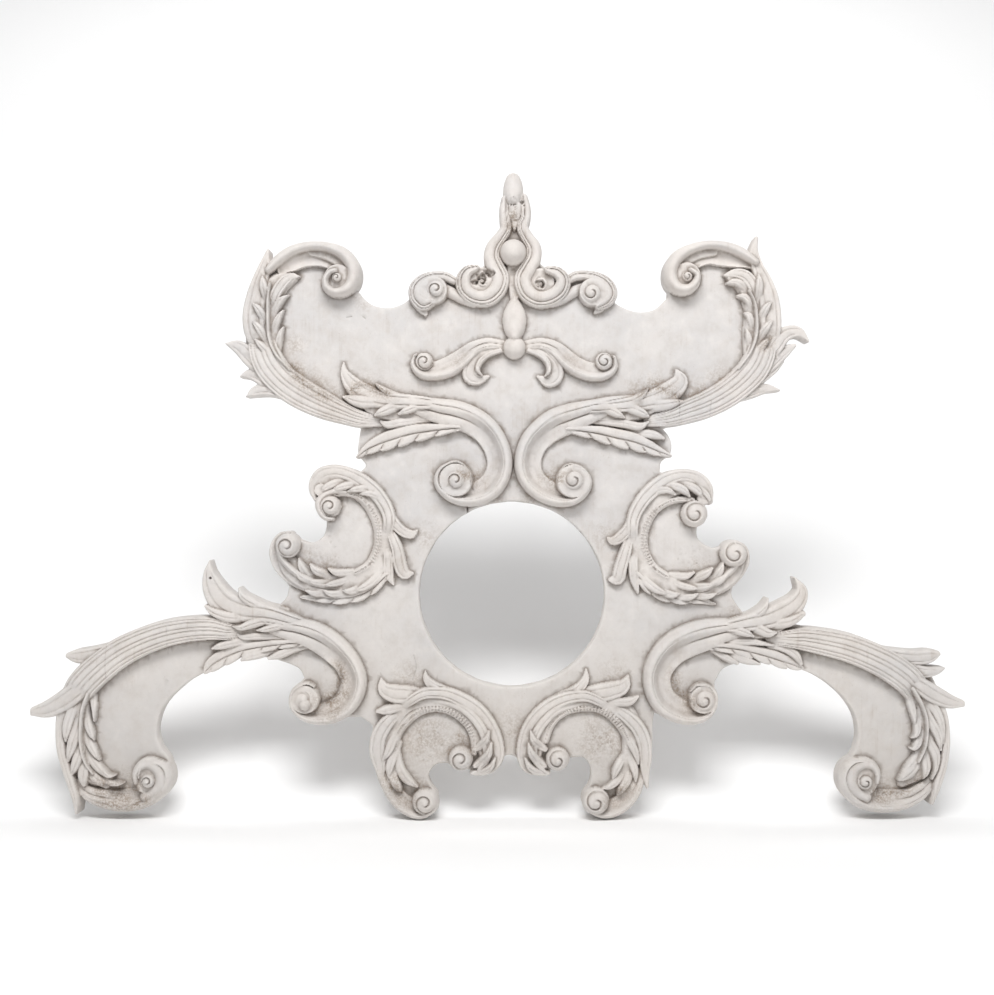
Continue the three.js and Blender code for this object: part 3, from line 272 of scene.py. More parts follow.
DROP = [
  ["scrollLeft", 20, 18, [-13, 400, 8], [-38, 402, 10.5], [-61, 394, 13], [-80, 379, 16], [-101, 366, 17],
    [-123, 359, 15.5], [-142, 360, 14], [-154, 370, 9.5], [-153, 381, 6.5]],
  ["curl", 22, 22, [-141, 374, 14.5]],
  ["blade", 18, 9, [-16, 394, 5.5], [-40, 390, 7.5], [-55, 380, 10], [-65, 365, 13], [-66, 351, 13],
    [-54, 345, 8.5], [-38, 350, 2.5]],
  ["scrollRight", 20, 18, [21, 400, 8], [46, 402, 10.5], [69, 394, 13], [86, 379, 15.5], [104, 366, 15.5],
    [125, 358, 15.5], [146, 358, 14.5], [160, 366, 10.5], [161, 378, 7]],
  ["curl", 22, 22, [148, 374, 14.5]],
  ["blade", 18, 9, [22, 394, 5.5], [46, 389, 7.5], [59, 378, 10], [68, 364, 13], [69, 350, 13],
    [58, 342, 9.5], [42, 350, 2.5]],
  ["knob", 26, 26, [4, 396, 18.5]],
  ["lobe", 24, 20, [-19, 392, 4], [-38, 385, 5], [-51, 373, 5], [-55, 360, 4], [-48, 352, 1.5]],
  ["lobe", 24, 20, [27, 392, 4], [46, 384, 5], [57, 372, 5], [59, 358, 4], [53, 350, 1.5]],
]

RIGHT_WING = [
  ["reeds", 20, 20, [402, 419, 21], [400, 392, 24], [389, 365, 25], [368, 341, 24], [342, 321, 23],
    [312, 305, 21.5], [282, 294, 19], [253, 284, 14.5], [221, 279, 9.5]],
  ["cove", 12, 12, [384, 530, 7], [362, 536, 12], [336, 540, 13.5], [314, 541, 11.5], [294, 533, 10.5],
    [280, 520, 9.5]],
  ["blade", 20, 8, [406, 371, 9.5], [421, 397, 13.5], [438, 418, 12], [459, 422, 8.5], [476, 407, 2]],
  ["blade", 17, 8, [394, 350, 9.5], [416, 371, 11.5], [435, 389, 10.5], [454, 400, 3]],
  ["blade", 16, 8, [381, 336, 9.5], [403, 352, 10.5], [421, 365, 8.5], [434, 374, 3]],
  ["blade", 16, 8, [358, 318, 9.5], [386, 326, 10.5], [408, 331, 7.5], [429, 328, 2]],
  ["blade", 20, 12, [410, 395, 13], [414, 422, 17.5], [414, 450, 18], [411, 475, 17], [404, 501, 14],
    [394, 525, 10.5], [388, 550, 7.5], [392, 572, 3]],
  ["lobe", 16, 8, [386, 526, 4], [379, 541, 5], [373, 552, 1.5]],
  ["lobe", 26, 20, [390, 462, 5], [394, 482, 7.5], [395, 498, 7], [394, 512, 2]],
  ["lobe", 25, 19, [392, 429, 5], [399, 446, 8], [406, 459, 7], [414, 469, 2]],
  ["lobe", 24, 18, [392, 400, 5], [400, 418, 8], [408, 430, 7], [416, 440, 2]],
  ["lobe", 23, 17, [384, 374, 5], [394, 390, 7.5], [404, 402, 6.5], [413, 410, 2]],
  ["blade", 22, 12, [392, 467, 6.5], [387, 491, 9.5], [376, 509, 10.5], [360, 515, 8.5], [341, 512, 2.5]],
  ["lobe", 18, 8, [390, 440, 5.5], [382, 466, 7.5], [373, 477, 6.5], [362, 479, 2.5]],
  ["lobe", 18, 8, [390, 413, 5.5], [384, 435, 6.5], [379, 448, 6], [373, 451, 2]],
  ["lobe", 18, 8, [384, 382, 6.5], [381, 403, 6.5], [378, 416, 5], [376, 425, 1.5]],
  ["roll", 26, 24, [379, 486, 2.5], [388, 466, 3], [391, 440, 3.5], [390, 414, 3.5], [381, 389, 3.5],
    [362, 362, 3]],
  ["roll", 24, 32, [390, 533, 6.5], [366, 549, 9], [341, 558, 8.5], [314, 560, 8], [288, 554, 9],
    [266, 541, 11], [255, 522, 12], [256, 502, 12], [267, 490, 10.5], [283, 490, 9], [294, 501, 8],
    [295, 512, 6], [285, 519, 5]],
  ["curl", 30, 30, [280, 509, 9.5]],
  ["base", 11, 11, [352, 509, 8.5], [378, 496, 19], [390, 464, 19], [390, 424, 19], [379, 389, 8.5]],
  ["disc", 17, 17, [280, 510, 24]],
  ["base", 11, 11, [272, 523, 8], [282, 538, 10.5], [299, 547, 10.5], [323, 550, 8]],
  ["lobe", 20, 8, [384, 478, 5], [371, 494, 7.5], [357, 501, 6.5], [344, 499, 2]],
]

RIGHT_SCROLL = [
  ["scrollRight", 24, 30, [192, 314, 6.5], [162, 306, 13], [136, 297, 17.5], [114, 290, 21], [93, 283, 24],
    [70, 274, 25], [51, 261, 24], [36, 245, 23], [27, 224, 22.5], [26, 202, 22], [35, 182, 21],
    [53, 167, 20], [74, 159, 18.5], [94, 159, 17], [110, 168, 14.5], [118, 182, 11], [114, 194, 8],
    [102, 204, 6], [88, 206, 4], [78, 198, 2.5]],
  ["curl", 36, 36, [98, 184, 19.5]],
  ["fringedRight", 18, 10, [90, 264, 5], [115, 262, 9.5], [141, 258, 13], [166, 252, 15], [194, 246, 15],
    [216, 238, 12], [235, 230, 8], [254, 223, 3]],
  ["lobe", 17, 9, [112, 280, 5], [144, 278, 6.5], [181, 274, 8], [205, 270, 7], [218, 277, 2.5]],
  ["lobe", 14, 7, [186, 264, 5], [208, 259, 7.5], [229, 256, 7], [243, 251, 3]],
  ["blade", 28, 10, [101, 294, 3], [125, 299, 9], [165, 302, 11], [202, 307, 13.5], [230, 314, 16.5],
    [254, 326, 17.5], [270, 342, 13], [264, 360, 2.5]],
  ["lobe", 22, 8, [163, 307, 5.5], [189, 310, 6.5], [206, 318, 6.5], [218, 330, 1.5]],
  ["lobe", 24, 12, [205, 306, 8], [229, 303, 11.5], [251, 305, 10], [272, 310, 3]],
  ["lobe", 25, 12, [166, 304, 6.5], [192, 298, 10], [208, 291, 8], [218, 286, 2.5]],
  ["lobe", 25, 12, [125, 304, 5.5], [149, 298, 9], [166, 291, 8], [179, 284, 2.5]],
  ["base", 12, 12, [104, 286, 8], [152, 293, 17.5], [192, 294, 17.5], [227, 299, 8]],
  ["disc", 27, 27, [98, 182, 29]],
]

RIGHT_MID = [
  ["fringedRight", 13, 8, [200, 32, 6.5], [218, 14, 9.5], [240, 1, 10.5], [269, -6, 10], [298, -8, 7],
    [326, -15, 2]],
  ["scrollLeft", 14, 26, [275, 3, 6.5], [306, 6, 10.5], [336, 18, 13.5], [357, 35, 14.5], [369, 54, 13],
    [370, 72, 9], [360, 81, 6.5]],
  ["curl", 34, 34, [355, 66, 22]],
  ["beaded", 13, 13, [290, 151, 5], [275, 153, 5.5], [254, 150, 6], [234, 139, 7], [220, 123, 7.5],
    [212, 102, 7.5], [211, 80, 7.5], [217, 59, 7.5], [229, 42, 7.5], [248, 29, 7]],
  ["blade", 22, 8, [194, 80, 8], [194, 120, 10.5], [208, 149, 12], [229, 171, 13], [251, 186, 12],
    [275, 192, 10], [298, 186, 11], [312, 171, 10.5], [318, 150, 5]],
  ["lobe", 20, 9, [213, 154, 5], [232, 166, 7.5], [248, 168, 6.5], [261, 161, 2.5]],
  ["lobe", 21, 9, [238, 171, 5], [259, 174, 8], [275, 168, 7], [284, 158, 2.5]],
  ["lobe", 21, 9, [267, 179, 5], [286, 174, 7.5], [298, 166, 6.5], [304, 156, 2.5]],
  ["lobe", 20, 9, [291, 179, 5], [304, 168, 6], [313, 158, 5], [317, 146, 2]],
  ["curl", 32, 32, [292, 130, 21.5]],
  ["blade", 20, 8, [195, 130, 6.5], [186, 106, 8.5], [173, 91, 9], [161, 86, 6.5], [153, 92, 1.5]],
  ["blade", 22, 10, [190, 96, 6.5], [181, 66, 10], [174, 42, 11], [170, 26, 10.5], [157, 24, 3]],
  ["blade", 19, 8, [197, 75, 6.5], [194, 48, 8], [197, 24, 7.5], [202, 3, 2]],
  ["lobe", 20, 16, [318, 17, 4], [327, 29, 7.5], [334, 40, 6.5], [338, 52, 2]],
  ["lobe", 21, 17, [286, 22, 4], [298, 27, 7.5], [311, 34, 7], [321, 43, 2]],
  ["lobe", 20, 16, [254, 33, 4], [266, 30, 6.5], [279, 30, 6], [292, 36, 2]],
  ["lobe", 19, 15, [306, 14, 4], [322, 18, 7], [335, 25, 7], [345, 35, 2]],
  ["lobe", 20, 16, [279, 13, 4], [294, 13, 7], [310, 14, 6.5], [324, 18, 2]],
  ["lobe", 20, 16, [254, 22, 4], [268, 16, 6.5], [284, 12, 6], [298, 10, 2]],
  ["lobe", 18, 15, [290, -2, 4], [303, -3, 6.5], [316, -2, 5.5], [327, 2, 2]],
  ["lobe", 19, 15, [262, -1, 4], [274, -4, 6.5], [287, -3, 6], [298, 2, 2]],
  ["lobe", 19, 15, [231, 11, 4.5], [244, 4, 7.5], [257, 0, 6.5], [268, 2, 2]],
  ["lobe", 20, 16, [204, 41, 6.5], [214, 23, 8.5], [231, 9, 7.5], [250, 1, 2.5]],
  ["base", 10, 10, [302, 178, 8.5], [257, 174, 19], [222, 146, 19], [202, 106, 19], [202, 66, 19],
    [222, 30, 19], [265, 11, 19], [313, 13, 19], [350, 34, 19], [369, 62, 8.5]],
  ["disc", 15, 15, [307, 154, 11]],
]

RIGHT_ARM = [
  ["reeds", 22, 20, [416, -71, 9.5], [442, -70, 14.5], [470, -71, 19], [501, -76, 21.5], [536, -84, 23],
    [571, -97, 23.5], [605, -114, 24.5], [635, -136, 24], [656, -162, 21]],
  ["blade", 20, 9, [586, -90, 8], [618, -98, 11.5], [648, -101, 12], [670, -99, 11], [683, -95, 5]],
  ["blade", 18, 8, [610, -110, 8], [638, -119, 10], [664, -124, 9.5], [682, -122, 6.5], [694, -118, 1.5]],
  ["blade", 22, 9, [624, -126, 11], [654, -146, 14.5], [680, -162, 15], [704, -172, 11], [725, -175, 5]],
  ["scrollRight", 24, 30, [406, -42, 6.5], [381, -48, 11], [357, -54, 16], [333, -58, 21], [307, -65, 26],
    [282, -74, 27], [259, -87, 26.5], [242, -106, 25], [233, -127, 23.5], [234, -149, 22.5],
    [243, -169, 22], [261, -183, 21], [283, -191, 18.5], [304, -189, 15.5], [318, -177, 11.5],
    [320, -162, 9], [311, -148, 6.5], [296, -146, 4.5], [286, -154, 2.5]],
  ["curl", 34, 34, [306, -167, 21.5]],
  ["fringedRight", 16, 8, [320, -83, 6.5], [362, -87, 10], [400, -96, 12.5], [432, -106, 12.5],
    [456, -114, 8], [466, -118, 3]],
  ["lobe", 13, 6, [333, -88, 5], [357, -98, 7.5], [378, -106, 6.5], [397, -111, 2.5]],
  ["lobe", 13, 6, [323, -90, 4], [344, -101, 6.5], [362, -110, 3]],
  ["lobe", 17, 9, [413, -82, 5], [437, -86, 7.5], [454, -96, 8], [463, -110, 4]],
  ["lobe", 17, 9, [304, -64, 5.5], [328, -68, 8], [352, -74, 7], [384, -75, 6.5], [419, -81, 2]],
  ["blade", 28, 10, [320, -54, 3], [342, -50, 9.5], [378, -44, 14.5], [410, -38, 17.5], [437, -27, 18.5],
    [457, -12, 15], [465, 6, 9.5], [454, 27, 1.5]],
  ["lobe", 22, 8, [352, -43, 5.5], [382, -36, 7.5], [402, -23, 6.5], [410, -6, 1.5]],
  ["lobe", 24, 12, [394, -46, 8], [419, -47, 10], [445, -42, 9.5], [466, -30, 5]],
  ["lobe", 26, 12, [368, -45, 6.5], [394, -54, 10.5], [410, -61, 8], [422, -60, 2.5]],
  ["lobe", 26, 12, [326, -51, 6.5], [354, -55, 9], [373, -60, 7.5], [386, -66, 2.5]],
  ["base", 12, 12, [309, -62, 8], [357, -58, 17.5], [405, -54, 17.5], [440, -46, 8]],
  ["disc", 26, 26, [306, -166, 25]],
]

RIGHT_FOOT = [
  ["lobe", 18, 7, [672, -162, 8], [690, -189, 8.5], [696, -221, 7.5], [695, -248, 7.5], [690, -275, 7.5],
    [682, -301, 7.5], [673, -334, 3]],
  ["lobe", 20, 10, [661, -160, 9.5], [675, -179, 9.5], [685, -200, 8], [690, -237, 2.5]],
  ["lobe", 21, 10, [654, -171, 8], [670, -202, 9.5], [681, -224, 8.5], [686, -248, 2.5]],
  ["lobe", 21, 10, [662, -211, 6.5], [670, -237, 9.5], [678, -256, 9], [678, -275, 5], [672, -294, 2]],
  ["lobe", 20, 10, [659, -245, 6.5], [663, -267, 9], [662, -282, 7], [658, -293, 2.5]],
  ["scrollLeft", 12, 28, [680, -293, 6.5], [661, -312, 12], [637, -326, 15.5], [610, -331, 18.5],
    [582, -330, 19.5], [558, -320, 20], [542, -302, 18], [541, -283, 14.5], [552, -271, 11],
    [566, -273, 9.5], [576, -283, 8]],
  ["curl", 32, 32, [563, -298, 14]],
  ["lobe", 17, 7, [638, -162, 7], [642, -184, 6.5], [644, -198, 4], [645, -208, 1.5]],
  ["lobe", 18, 8, [651, -189, 6.5], [650, -211, 7], [647, -224, 4.5], [640, -229, 1.5]],
  ["lobe", 18, 8, [656, -219, 6.5], [650, -238, 7], [643, -246, 4], [637, -245, 1.5]],
  ["lobe", 18, 8, [656, -245, 6.5], [646, -264, 7.5], [635, -275, 6.5], [623, -288, 2.5]],
  ["lobe", 17, 8, [651, -270, 6.5], [640, -286, 7.5], [626, -296, 3]],
  ["roll", 24, 20, [640, -149, 4], [653, -171, 4], [662, -195, 3.5], [664, -219, 3.5], [660, -245, 3],
    [650, -267, 2.5]],
  ["base", 10, 10, [653, -160, 8], [667, -200, 17.5], [669, -240, 17.5], [656, -277, 17.5], [626, -301, 8]],
  ["disc", 20, 20, [562, -298, 24]],
  ["roll", 24, 27, [566, -323, 10.5], [550, -313, 13], [542, -296, 14], [547, -279, 13], [562, -270, 11],
    [576, -274, 9], [583, -286, 7.5], [582, -299, 5]],
  ["lobe", 22, 12, [656, -261, 6.5], [643, -277, 10], [630, -288, 8.5], [619, -296, 2.5]],
]

RIGHT_BOTTOM = [
  ["blade", 18, 8, [109, -163, 10.5], [136, -158, 14.5], [160, -154, 15], [179, -147, 11],
    [186, -131, 2.5]],
  ["lobe", 16, 8, [146, -174, 5.5], [168, -173, 7.5], [189, -171, 7.5], [202, -163, 2.5]],
  ["beaded", 11, 12, [54, -234, 6], [59, -214, 7.5], [70, -198, 7.5], [88, -187, 6.5], [110, -182, 6.5],
    [133, -182, 6.5], [152, -189, 7.5], [168, -202, 8], [181, -221, 7], [189, -240, 5]],
  ["blade", 20, 8, [160, -186, 5], [141, -171, 8], [118, -162, 9.5], [90, -165, 10.5], [64, -176, 11.5],
    [42, -194, 12], [27, -216, 12], [20, -240, 12], [19, -261, 11], [27, -278, 9.5], [53, -289, 2.5]],
  ["blade", 18, 7, [90, -160, 8], [107, -150, 8.5], [118, -136, 6.5], [119, -120, 1.5]],
  ["lobe", 18, 8, [157, -189, 3], [144, -179, 5], [128, -171, 5.5], [98, -175, 8], [70, -186, 8.5],
    [50, -205, 9], [37, -227, 9], [34, -250, 8], [40, -270, 6], [53, -283, 2.5]],
  ["blade", 18, 8, [160, -181, 7], [184, -195, 11], [202, -214, 12], [212, -238, 12], [214, -261, 11],
    [214, -283, 7.5], [217, -309, 2.5]],
  ["scrollLeft", 10, 24, [208, -283, 6.5], [200, -307, 11], [186, -326, 14.5], [168, -340, 15],
    [147, -345, 14.5], [128, -338, 13]],
  ["curl", 34, 34, [134, -330, 22]],
  ["curl", 32, 32, [73, -263, 19]],
  ["lobe", 16, 8, [176, -216, 5.5], [189, -235, 8], [198, -253, 6.5], [202, -270, 2.5]],
  ["lobe", 16, 8, [184, -245, 5.5], [192, -267, 8], [197, -283, 6.5], [198, -298, 2.5]],
  ["lobe", 16, 8, [187, -272, 6.5], [186, -294, 8.5], [176, -310, 7.5], [170, -320, 3]],
  ["lobe", 17, 8, [184, -254, 5.5], [173, -270, 7.5], [166, -283, 6.5], [162, -294, 2.5]],
  ["lobe", 17, 8, [182, -277, 5.5], [170, -296, 7.5], [157, -307, 5.5], [146, -310, 2]],
  ["base", 9, 9, [178, -280, 8], [194, -248, 17.5], [190, -208, 17.5], [166, -176, 17.5], [126, -165, 17.5],
    [86, -171, 17.5], [54, -197, 17.5], [38, -235, 17.5], [38, -264, 8]],
  ["lobe", 24, 12, [53, -248, 5], [45, -242, 8], [35, -232, 7], [30, -218, 2]],
  ["lobe", 26, 12, [53, -274, 5], [42, -267, 8], [32, -254, 7.5], [26, -237, 2]],
  ["lobe", 24, 12, [58, -286, 4], [42, -284, 6.5], [29, -276, 6], [21, -261, 2]],
]

# The board's edge, clockwise from the left wing, in stretches of [x, z]
BOARD_EDGE = [
  [[-390, 531], [-354, 549], [-310, 557], [-278, 550], [-256, 525], [-250, 488]],
  [[-246, 486], [-234, 472], [-218, 463], [-195, 461], [-176, 467], [-162, 477]],
  [[-139, 498], [-115, 510], [-67, 512], [-32, 544], [-12, 581], [-12, 624], [2, 656]],
  [[18, 624], [18, 581], [35, 544], [74, 512], [118, 508], [144, 498]],
  [[160, 475], [173, 464], [201, 454], [229, 458], [251, 478]],
  [[254, 514], [267, 541], [301, 557], [341, 558], [371, 547], [393, 533], [411, 496],
    [422, 432], [413, 368], [403, 336], [368, 317], [301, 288]],
  [[243, 266], [253, 253], [257, 237], [254, 224]],
  [[253, 222], [240, 213], [238, 197]],
  [[250, 194], [285, 194], [314, 165], [304, 133]],
  [[298, 114], [299, 90], [322, 75], [339, 78]],
  [[358, 83], [374, 62], [368, 40]],
  [[357, 18], [354, -3], [374, -33]],
  [[405, -35], [453, -48], [533, -67], [621, -96], [669, -123], [691, -173], [695, -232],
    [691, -280], [669, -318], [629, -341], [576, -344], [534, -318], [530, -288], [544, -264]],
  [[552, -251], [557, -224], [549, -189], [522, -155], [480, -127], [429, -110], [389, -104]],
  [[362, -110], [339, -120], [326, -141]],
  [[326, -168], [301, -203], [256, -200], [229, -190]],
  [[226, -208], [226, -240], [222, -277], [205, -309], [173, -341], [141, -355], [118, -341]],
  [[115, -322], [126, -301], [126, -278], [114, -262], [91, -263]],
  [[80, -280], [58, -283], [26, -285]],
  [[10, -264], [-3, -258], [-14, -261]],
  [[-38, -285], [-80, -280], [-96, -277]],
  [[-104, -271], [-123, -274], [-134, -290], [-131, -304], [-118, -322]],
  [[-125, -350], [-150, -358], [-186, -341], [-214, -302], [-224, -251]],
  [[-224, -211], [-242, -197]],
  [[-266, -197], [-310, -206], [-352, -184], [-355, -158]],
  [[-334, -134], [-344, -118], [-378, -105], [-413, -98]],
  [[-459, -104], [-490, -122]],
  [[-499, -128], [-526, -145], [-558, -177], [-571, -214], [-566, -243], [-552, -262]],
  [[-544, -288], [-555, -320], [-595, -342], [-651, -339], [-688, -322], [-714, -280],
    [-726, -224], [-723, -187], [-694, -128], [-659, -91], [-587, -56], [-499, -38], [-435, -27],
    [-400, -27]],
  [[-379, -21], [-363, -5], [-358, 13]],
  [[-376, 37], [-384, 64], [-381, 88], [-362, 98]],
  [[-341, 88], [-322, 83], [-304, 93], [-298, 110], [-299, 123]],
  [[-310, 144], [-318, 168], [-310, 194], [-275, 203]],
  [[-243, 198], [-235, 208], [-246, 222]],
  [[-248, 232], [-246, 248], [-243, 267]],
  [[-267, 280], [-323, 298], [-371, 322], [-400, 354], [-426, 395], [-426, 448], [-413, 504]],
]

MOTIFS = [
    LEFT_WING, LEFT_SCROLL, LEFT_MID, LEFT_ARM, LEFT_FOOT, LEFT_BOTTOM, CREST, DROP,
    RIGHT_WING, RIGHT_SCROLL, RIGHT_MID, RIGHT_ARM, RIGHT_FOOT, RIGHT_BOTTOM,
]

# Cracks and glue lines, as [half width, depth, points], in millimetres
CRACKS = [
    [0.8, 5, [-72, 141], [-71, 131], [-72, 122]],
    [0.5, 2.5, [-64, 191], [-66, 178], [-62, 168]],
    [0.45, 1.6, [-120, 64], [-118, 52], [-121, 40]],
    [0.35, 1.0, [-158, -97], [-154, -116], [-159, -136]],
    [0.35, 0.9, [-648, -78], [-650, -112], [-648, -140]],
    [0.3, 0.7, [-552, -52], [-551, -70], [-553, -96]],
    [0.4, 1.4, [267, 286], [268, 300], [266, 318]],
    [0.35, 1.0, [317, 270], [316, 292], [318, 310]],
    [0.5, 1.4, [-266, 446], [-258, 447]],
    [0.5, 1.2, [-240, 447], [-236, 444]],
]

# Places where a bit has broken off: [x, z, radius, depth]
CHIPS = [
    [-49, 505, 11, 15], [-37, 517, 8, 12], [-60, 499, 7, 8], [44, 499, 8, 12], [-20, 629, 6, 6],
    [18, 630, 5, 6], [-471, 406, 6, 6],
]

# Torn wood under the finial and in the eye of the left crest scroll: [x, z, radius]
TORN = [[2, 618, 11], [3, 602, 9], [2, 630, 8], [-46, 510, 14]]

# Brown dirt that has settled: [x, z, radius, strength]. At full strength it lies on the leaves too.
DIRTY = [
    [-345, 345, 26, 0.7], [-318, 330, 22, 0.9], [-290, 312, 22, 0.9], [-262, 318, 18, 0.8],
    [-232, 332, 22, 0.7], [-205, 318, 20, 0.8], [-350, 400, 18, 0.5], [-378, 500, 20, 0.4],
    [-300, 552, 14, 0.7], [-60, 185, 20, 0.7], [-96, 190, 14, 0.8], [-24, 140, 18, 0.6],
    [24, 140, 18, 0.6], [64, 185, 20, 0.7], [100, 190, 14, 0.8], [205, 322, 22, 0.8],
    [232, 330, 22, 0.8], [262, 318, 20, 0.8], [300, 322, 22, 0.7], [338, 345, 22, 0.7],
    [-292, -176, 24, 1], [-312, -192, 18, 0.9], [-268, -160, 16, 0.9], [300, -178, 24, 0.9],
    [322, -192, 16, 0.7], [-625, -318, 26, 1], [-655, -312, 22, 1], [-598, -300, 18, 0.9],
    [590, -322, 26, 0.9], [560, -300, 20, 0.9], [-190, -305, 20, 1], [-172, -325, 18, 1],
    [-150, -310, 16, 0.9], [188, -310, 20, 0.9], [168, -325, 16, 0.9], [-140, -228, 44, 0.65],
    [145, -230, 44, 0.65], [-105, -248, 16, 0.7], [-62, -262, 14, 0.5], [70, -262, 14, 0.5],
    [-300, 40, 24, 0.5], [-330, 58, 20, 0.5], [300, 40, 24, 0.4], [-140, 95, 22, 0.5],
    [150, 95, 22, 0.4], [-365, -30, 18, 0.6], [365, -30, 18, 0.6], [-165, -130, 24, 0.5],
    [168, -130, 24, 0.5], [0, -215, 26, 0.5], [-240, 470, 20, 0.3], [-40, 372, 14, 0.4],
    [-82, 372, 16, 0.7], [92, 368, 16, 0.6], [8, 480, 12, 0.5],
]

# Dark creases between parts: painted shade along each, with dirt packed in beside it: [half width,
# strength, points]
CREASES = [
    [3.2, 0.8, [-304, -173], [-287, -165], [-276, -149], [-273, -131], [-278, -116]],
    [2.6, 0.7, [290, -172], [276, -163], [264, -149], [261, -131]],
    [2.6, 0.6, [-653, -300], [-636, -312], [-614, -315], [-598, -306]],
    [1.8, 0.4, [-662, -330], [-632, -338], [-604, -335], [-582, -324]],
    [2.6, 0.6, [576, -310], [600, -318], [630, -312], [654, -294]],
    [3.0, 0.6, [-188, -308], [-176, -320], [-163, -330]],
    [2.6, 0.6, [-84, -229], [-76, -236], [-68, -244]],
    [2.6, 0.6, [176, -312], [166, -322], [154, -331]],
    [2.2, 0.5, [-352, 368], [-338, 344], [-318, 328], [-296, 316]],
    [2.0, 0.5, [-258, 326], [-240, 336], [-222, 330], [-200, 322]],
    [2.2, 0.5, [-78, 197], [-71, 190], [-62, 190]],
    [2.2, 0.5, [62, 186], [71, 184], [79, 190]],
    [1.2, 0.5, [2, 606], [-4, 596], [-2, 586]],
    [1.7, 0.9, [410, 409], [409, 403], [406, 397]],
    [2.0, 0.5, [206, 324], [228, 334], [250, 326], [268, 318]],
]

# Nail holes: [x, z], and their radius in millimetres
NAILS = [[-483, 27]]
NAIL_RADIUS = 1.8

# Pitted ground inside the lower and the middle scrolls: [x, z, radius, pits]
PITTED = [[-131, -236, 34, 46], [138, -240, 32, 40], [-300, 70, 26, 18], [286, 62, 26, 18]]

# Strands of these kinds rise out of what they spring from: from this share of their crest, over this
# length in millimetres or this share of their own length. Reeds sink again at their tip.
SINKING_ROOT = ("blade", "reeds", "scrollLeft", "scrollRight")
SUNKEN_SHARE = 0.35
SINKING_LENGTH = 34
SINKING_PART = 0.35
REEDS_TIP_SINKS = 0.6

# Leaves with tongues along one side, with that side's sign. The tongues' spacing is in millimetres,
# their slant and scallops are shares of the half width, and the cuts between them of the spacing.
FRINGED = {"fringedLeft": 1, "fringedRight": -1}
TONGUE_PITCH = 30
TONGUE_SLANT = 1.15
TONGUE_SCALLOP = 0.38
TONGUE_CUT = 0.075

# Where the lines of a reeded band, the folds of a blade and the vein of a lobe are cut, from edge
# (-1) to edge (1), with their depths as shares of the crest and their widths as shares of the half width
REED_LINES = (-0.78, -0.54, -0.14, 0.14, 0.54, 0.78)
REED_DEPTH = 0.1
REED_WIDTH = 0.05
BLADE_FOLDS = (-0.5, 0.42)
FOLD_DEPTH = 0.11
FOLD_WIDTH = 0.08
LOBE_VEIN = (0.1,)
VEIN_DEPTH = 0.08
VEIN_WIDTH = 0.12

# The section of a ribbed strand: places from edge to edge, and the share of the crest at each
RIBBED = [
    [-1, -0.88, -0.5, -0.05, 0.2, 0.28, 0.36, 0.48, 0.58, 0.65, 0.73, 0.86, 1],
    [0.3, 0.72, 0.95, 0.9, 0.78, 0.64, 0.78, 0.82, 0.76, 0.62, 0.74, 0.68, 0.25],
]

# Scroll sections from the inner edge (-1) to the outer edge (1): where the run starts, and round
# the volute, and the shares of the length between which one turns into the other
SCROLL_RUN = [
    [-1, -0.93, -0.6, -0.24, -0.14, -0.06, 0.2, 0.36, 0.43, 0.5, 0.78, 0.93, 1],
    [0.25, 0.58, 0.72, 0.74, 0.58, 0.8, 0.93, 0.93, 0.83, 0.95, 0.84, 0.58, 0.15],
]
SCROLL_VOLUTE = [
    [-1, -0.92, -0.5, -0.05, 0.18, 0.29, 0.35, 0.42, 0.52, 0.75, 0.92, 1],
    [0.1, 0.26, 0.2, 0.34, 0.62, 0.82, 0.8, 0.92, 0.96, 0.85, 0.54, 0.1],
]
SCROLL_TURNS = (0.22, 0.42)

# Beads along a beaded roll: their spacing in millimetres, and the depth between them as a share of
# the crest
BEAD_PITCH = 5.4
BEAD_DEPTH = 0.34

# The spiral cut into a curl: turns from eye to rim, depth in millimetres and width as a share of a
# turn. The eye's rise is in millimetres, and its radius is a share of the curl's.
SPIRAL_TURNS = 1.6
SPIRAL_DEPTH = 5.5
SPIRAL_WIDTH = 0.13
EYE_RISE = 3
EYE_RADIUS = 0.2

# Steps along strands, the board's edge and cracks, and the thinnest half width, in millimetres
STRAND_STEP = 3.5
EDGE_STEP = 2.5
LINE_STEP = 3
THINNEST = 1.0

# Curves: the steps from point to point before one is resampled, the power of its chords, and the
# shortest chord in millimetres
FINE_STEPS = 8
CENTRIPETAL = 0.5
UNIFORM = 0
SHORTEST = 1e-4

# How far around a shape it is measured, in millimetres, and the distance to an edge, or the half
# widths across a strand, that stand for anything farther off
MARGIN = 4
FAR = 9.0

# How far the surface strays and over what length, in millimetres: the ground's dip beside the
# carving, gouge marks in the ground, waves over the carving, and the grain
DIP_DEPTH = 1.6
DIP_REACH = 14
GOUGE_DEPTH = 0.5
GOUGE_LENGTH = 26
WAVE_DEPTH = 0.35
WAVE_LENGTH = 18
GRAIN_DEPTH = 0.16
GRAIN_LENGTH = 5

# Widths and depths of the pits, and how far around one is worked, in millimetres
PIT_SIZES = (1.2, 2.6)
PIT_DEPTHS = (0.5, 1.3)
PIT_SPAN = 9

# Breaks: how far their edge strays, their roughness and their span, in millimetres, and how dark
CHIP_STRAY = 4
CHIP_ROUGHNESS = 3
CHIP_SPAN = 6
CHIP_DARKNESS = 0.12
TORN_ROUGHNESS = 2.6

# Settled dirt thins out over this height above the ground where it isn't at full strength. A crease
# strays by this much, with dirt this wide beside it, and is worked over this span, in millimetres.
DIRT_HEIGHT = 20
CREASE_STRAY = 0.8
CREASE_DIRT = 10
CREASE_SPAN = 14
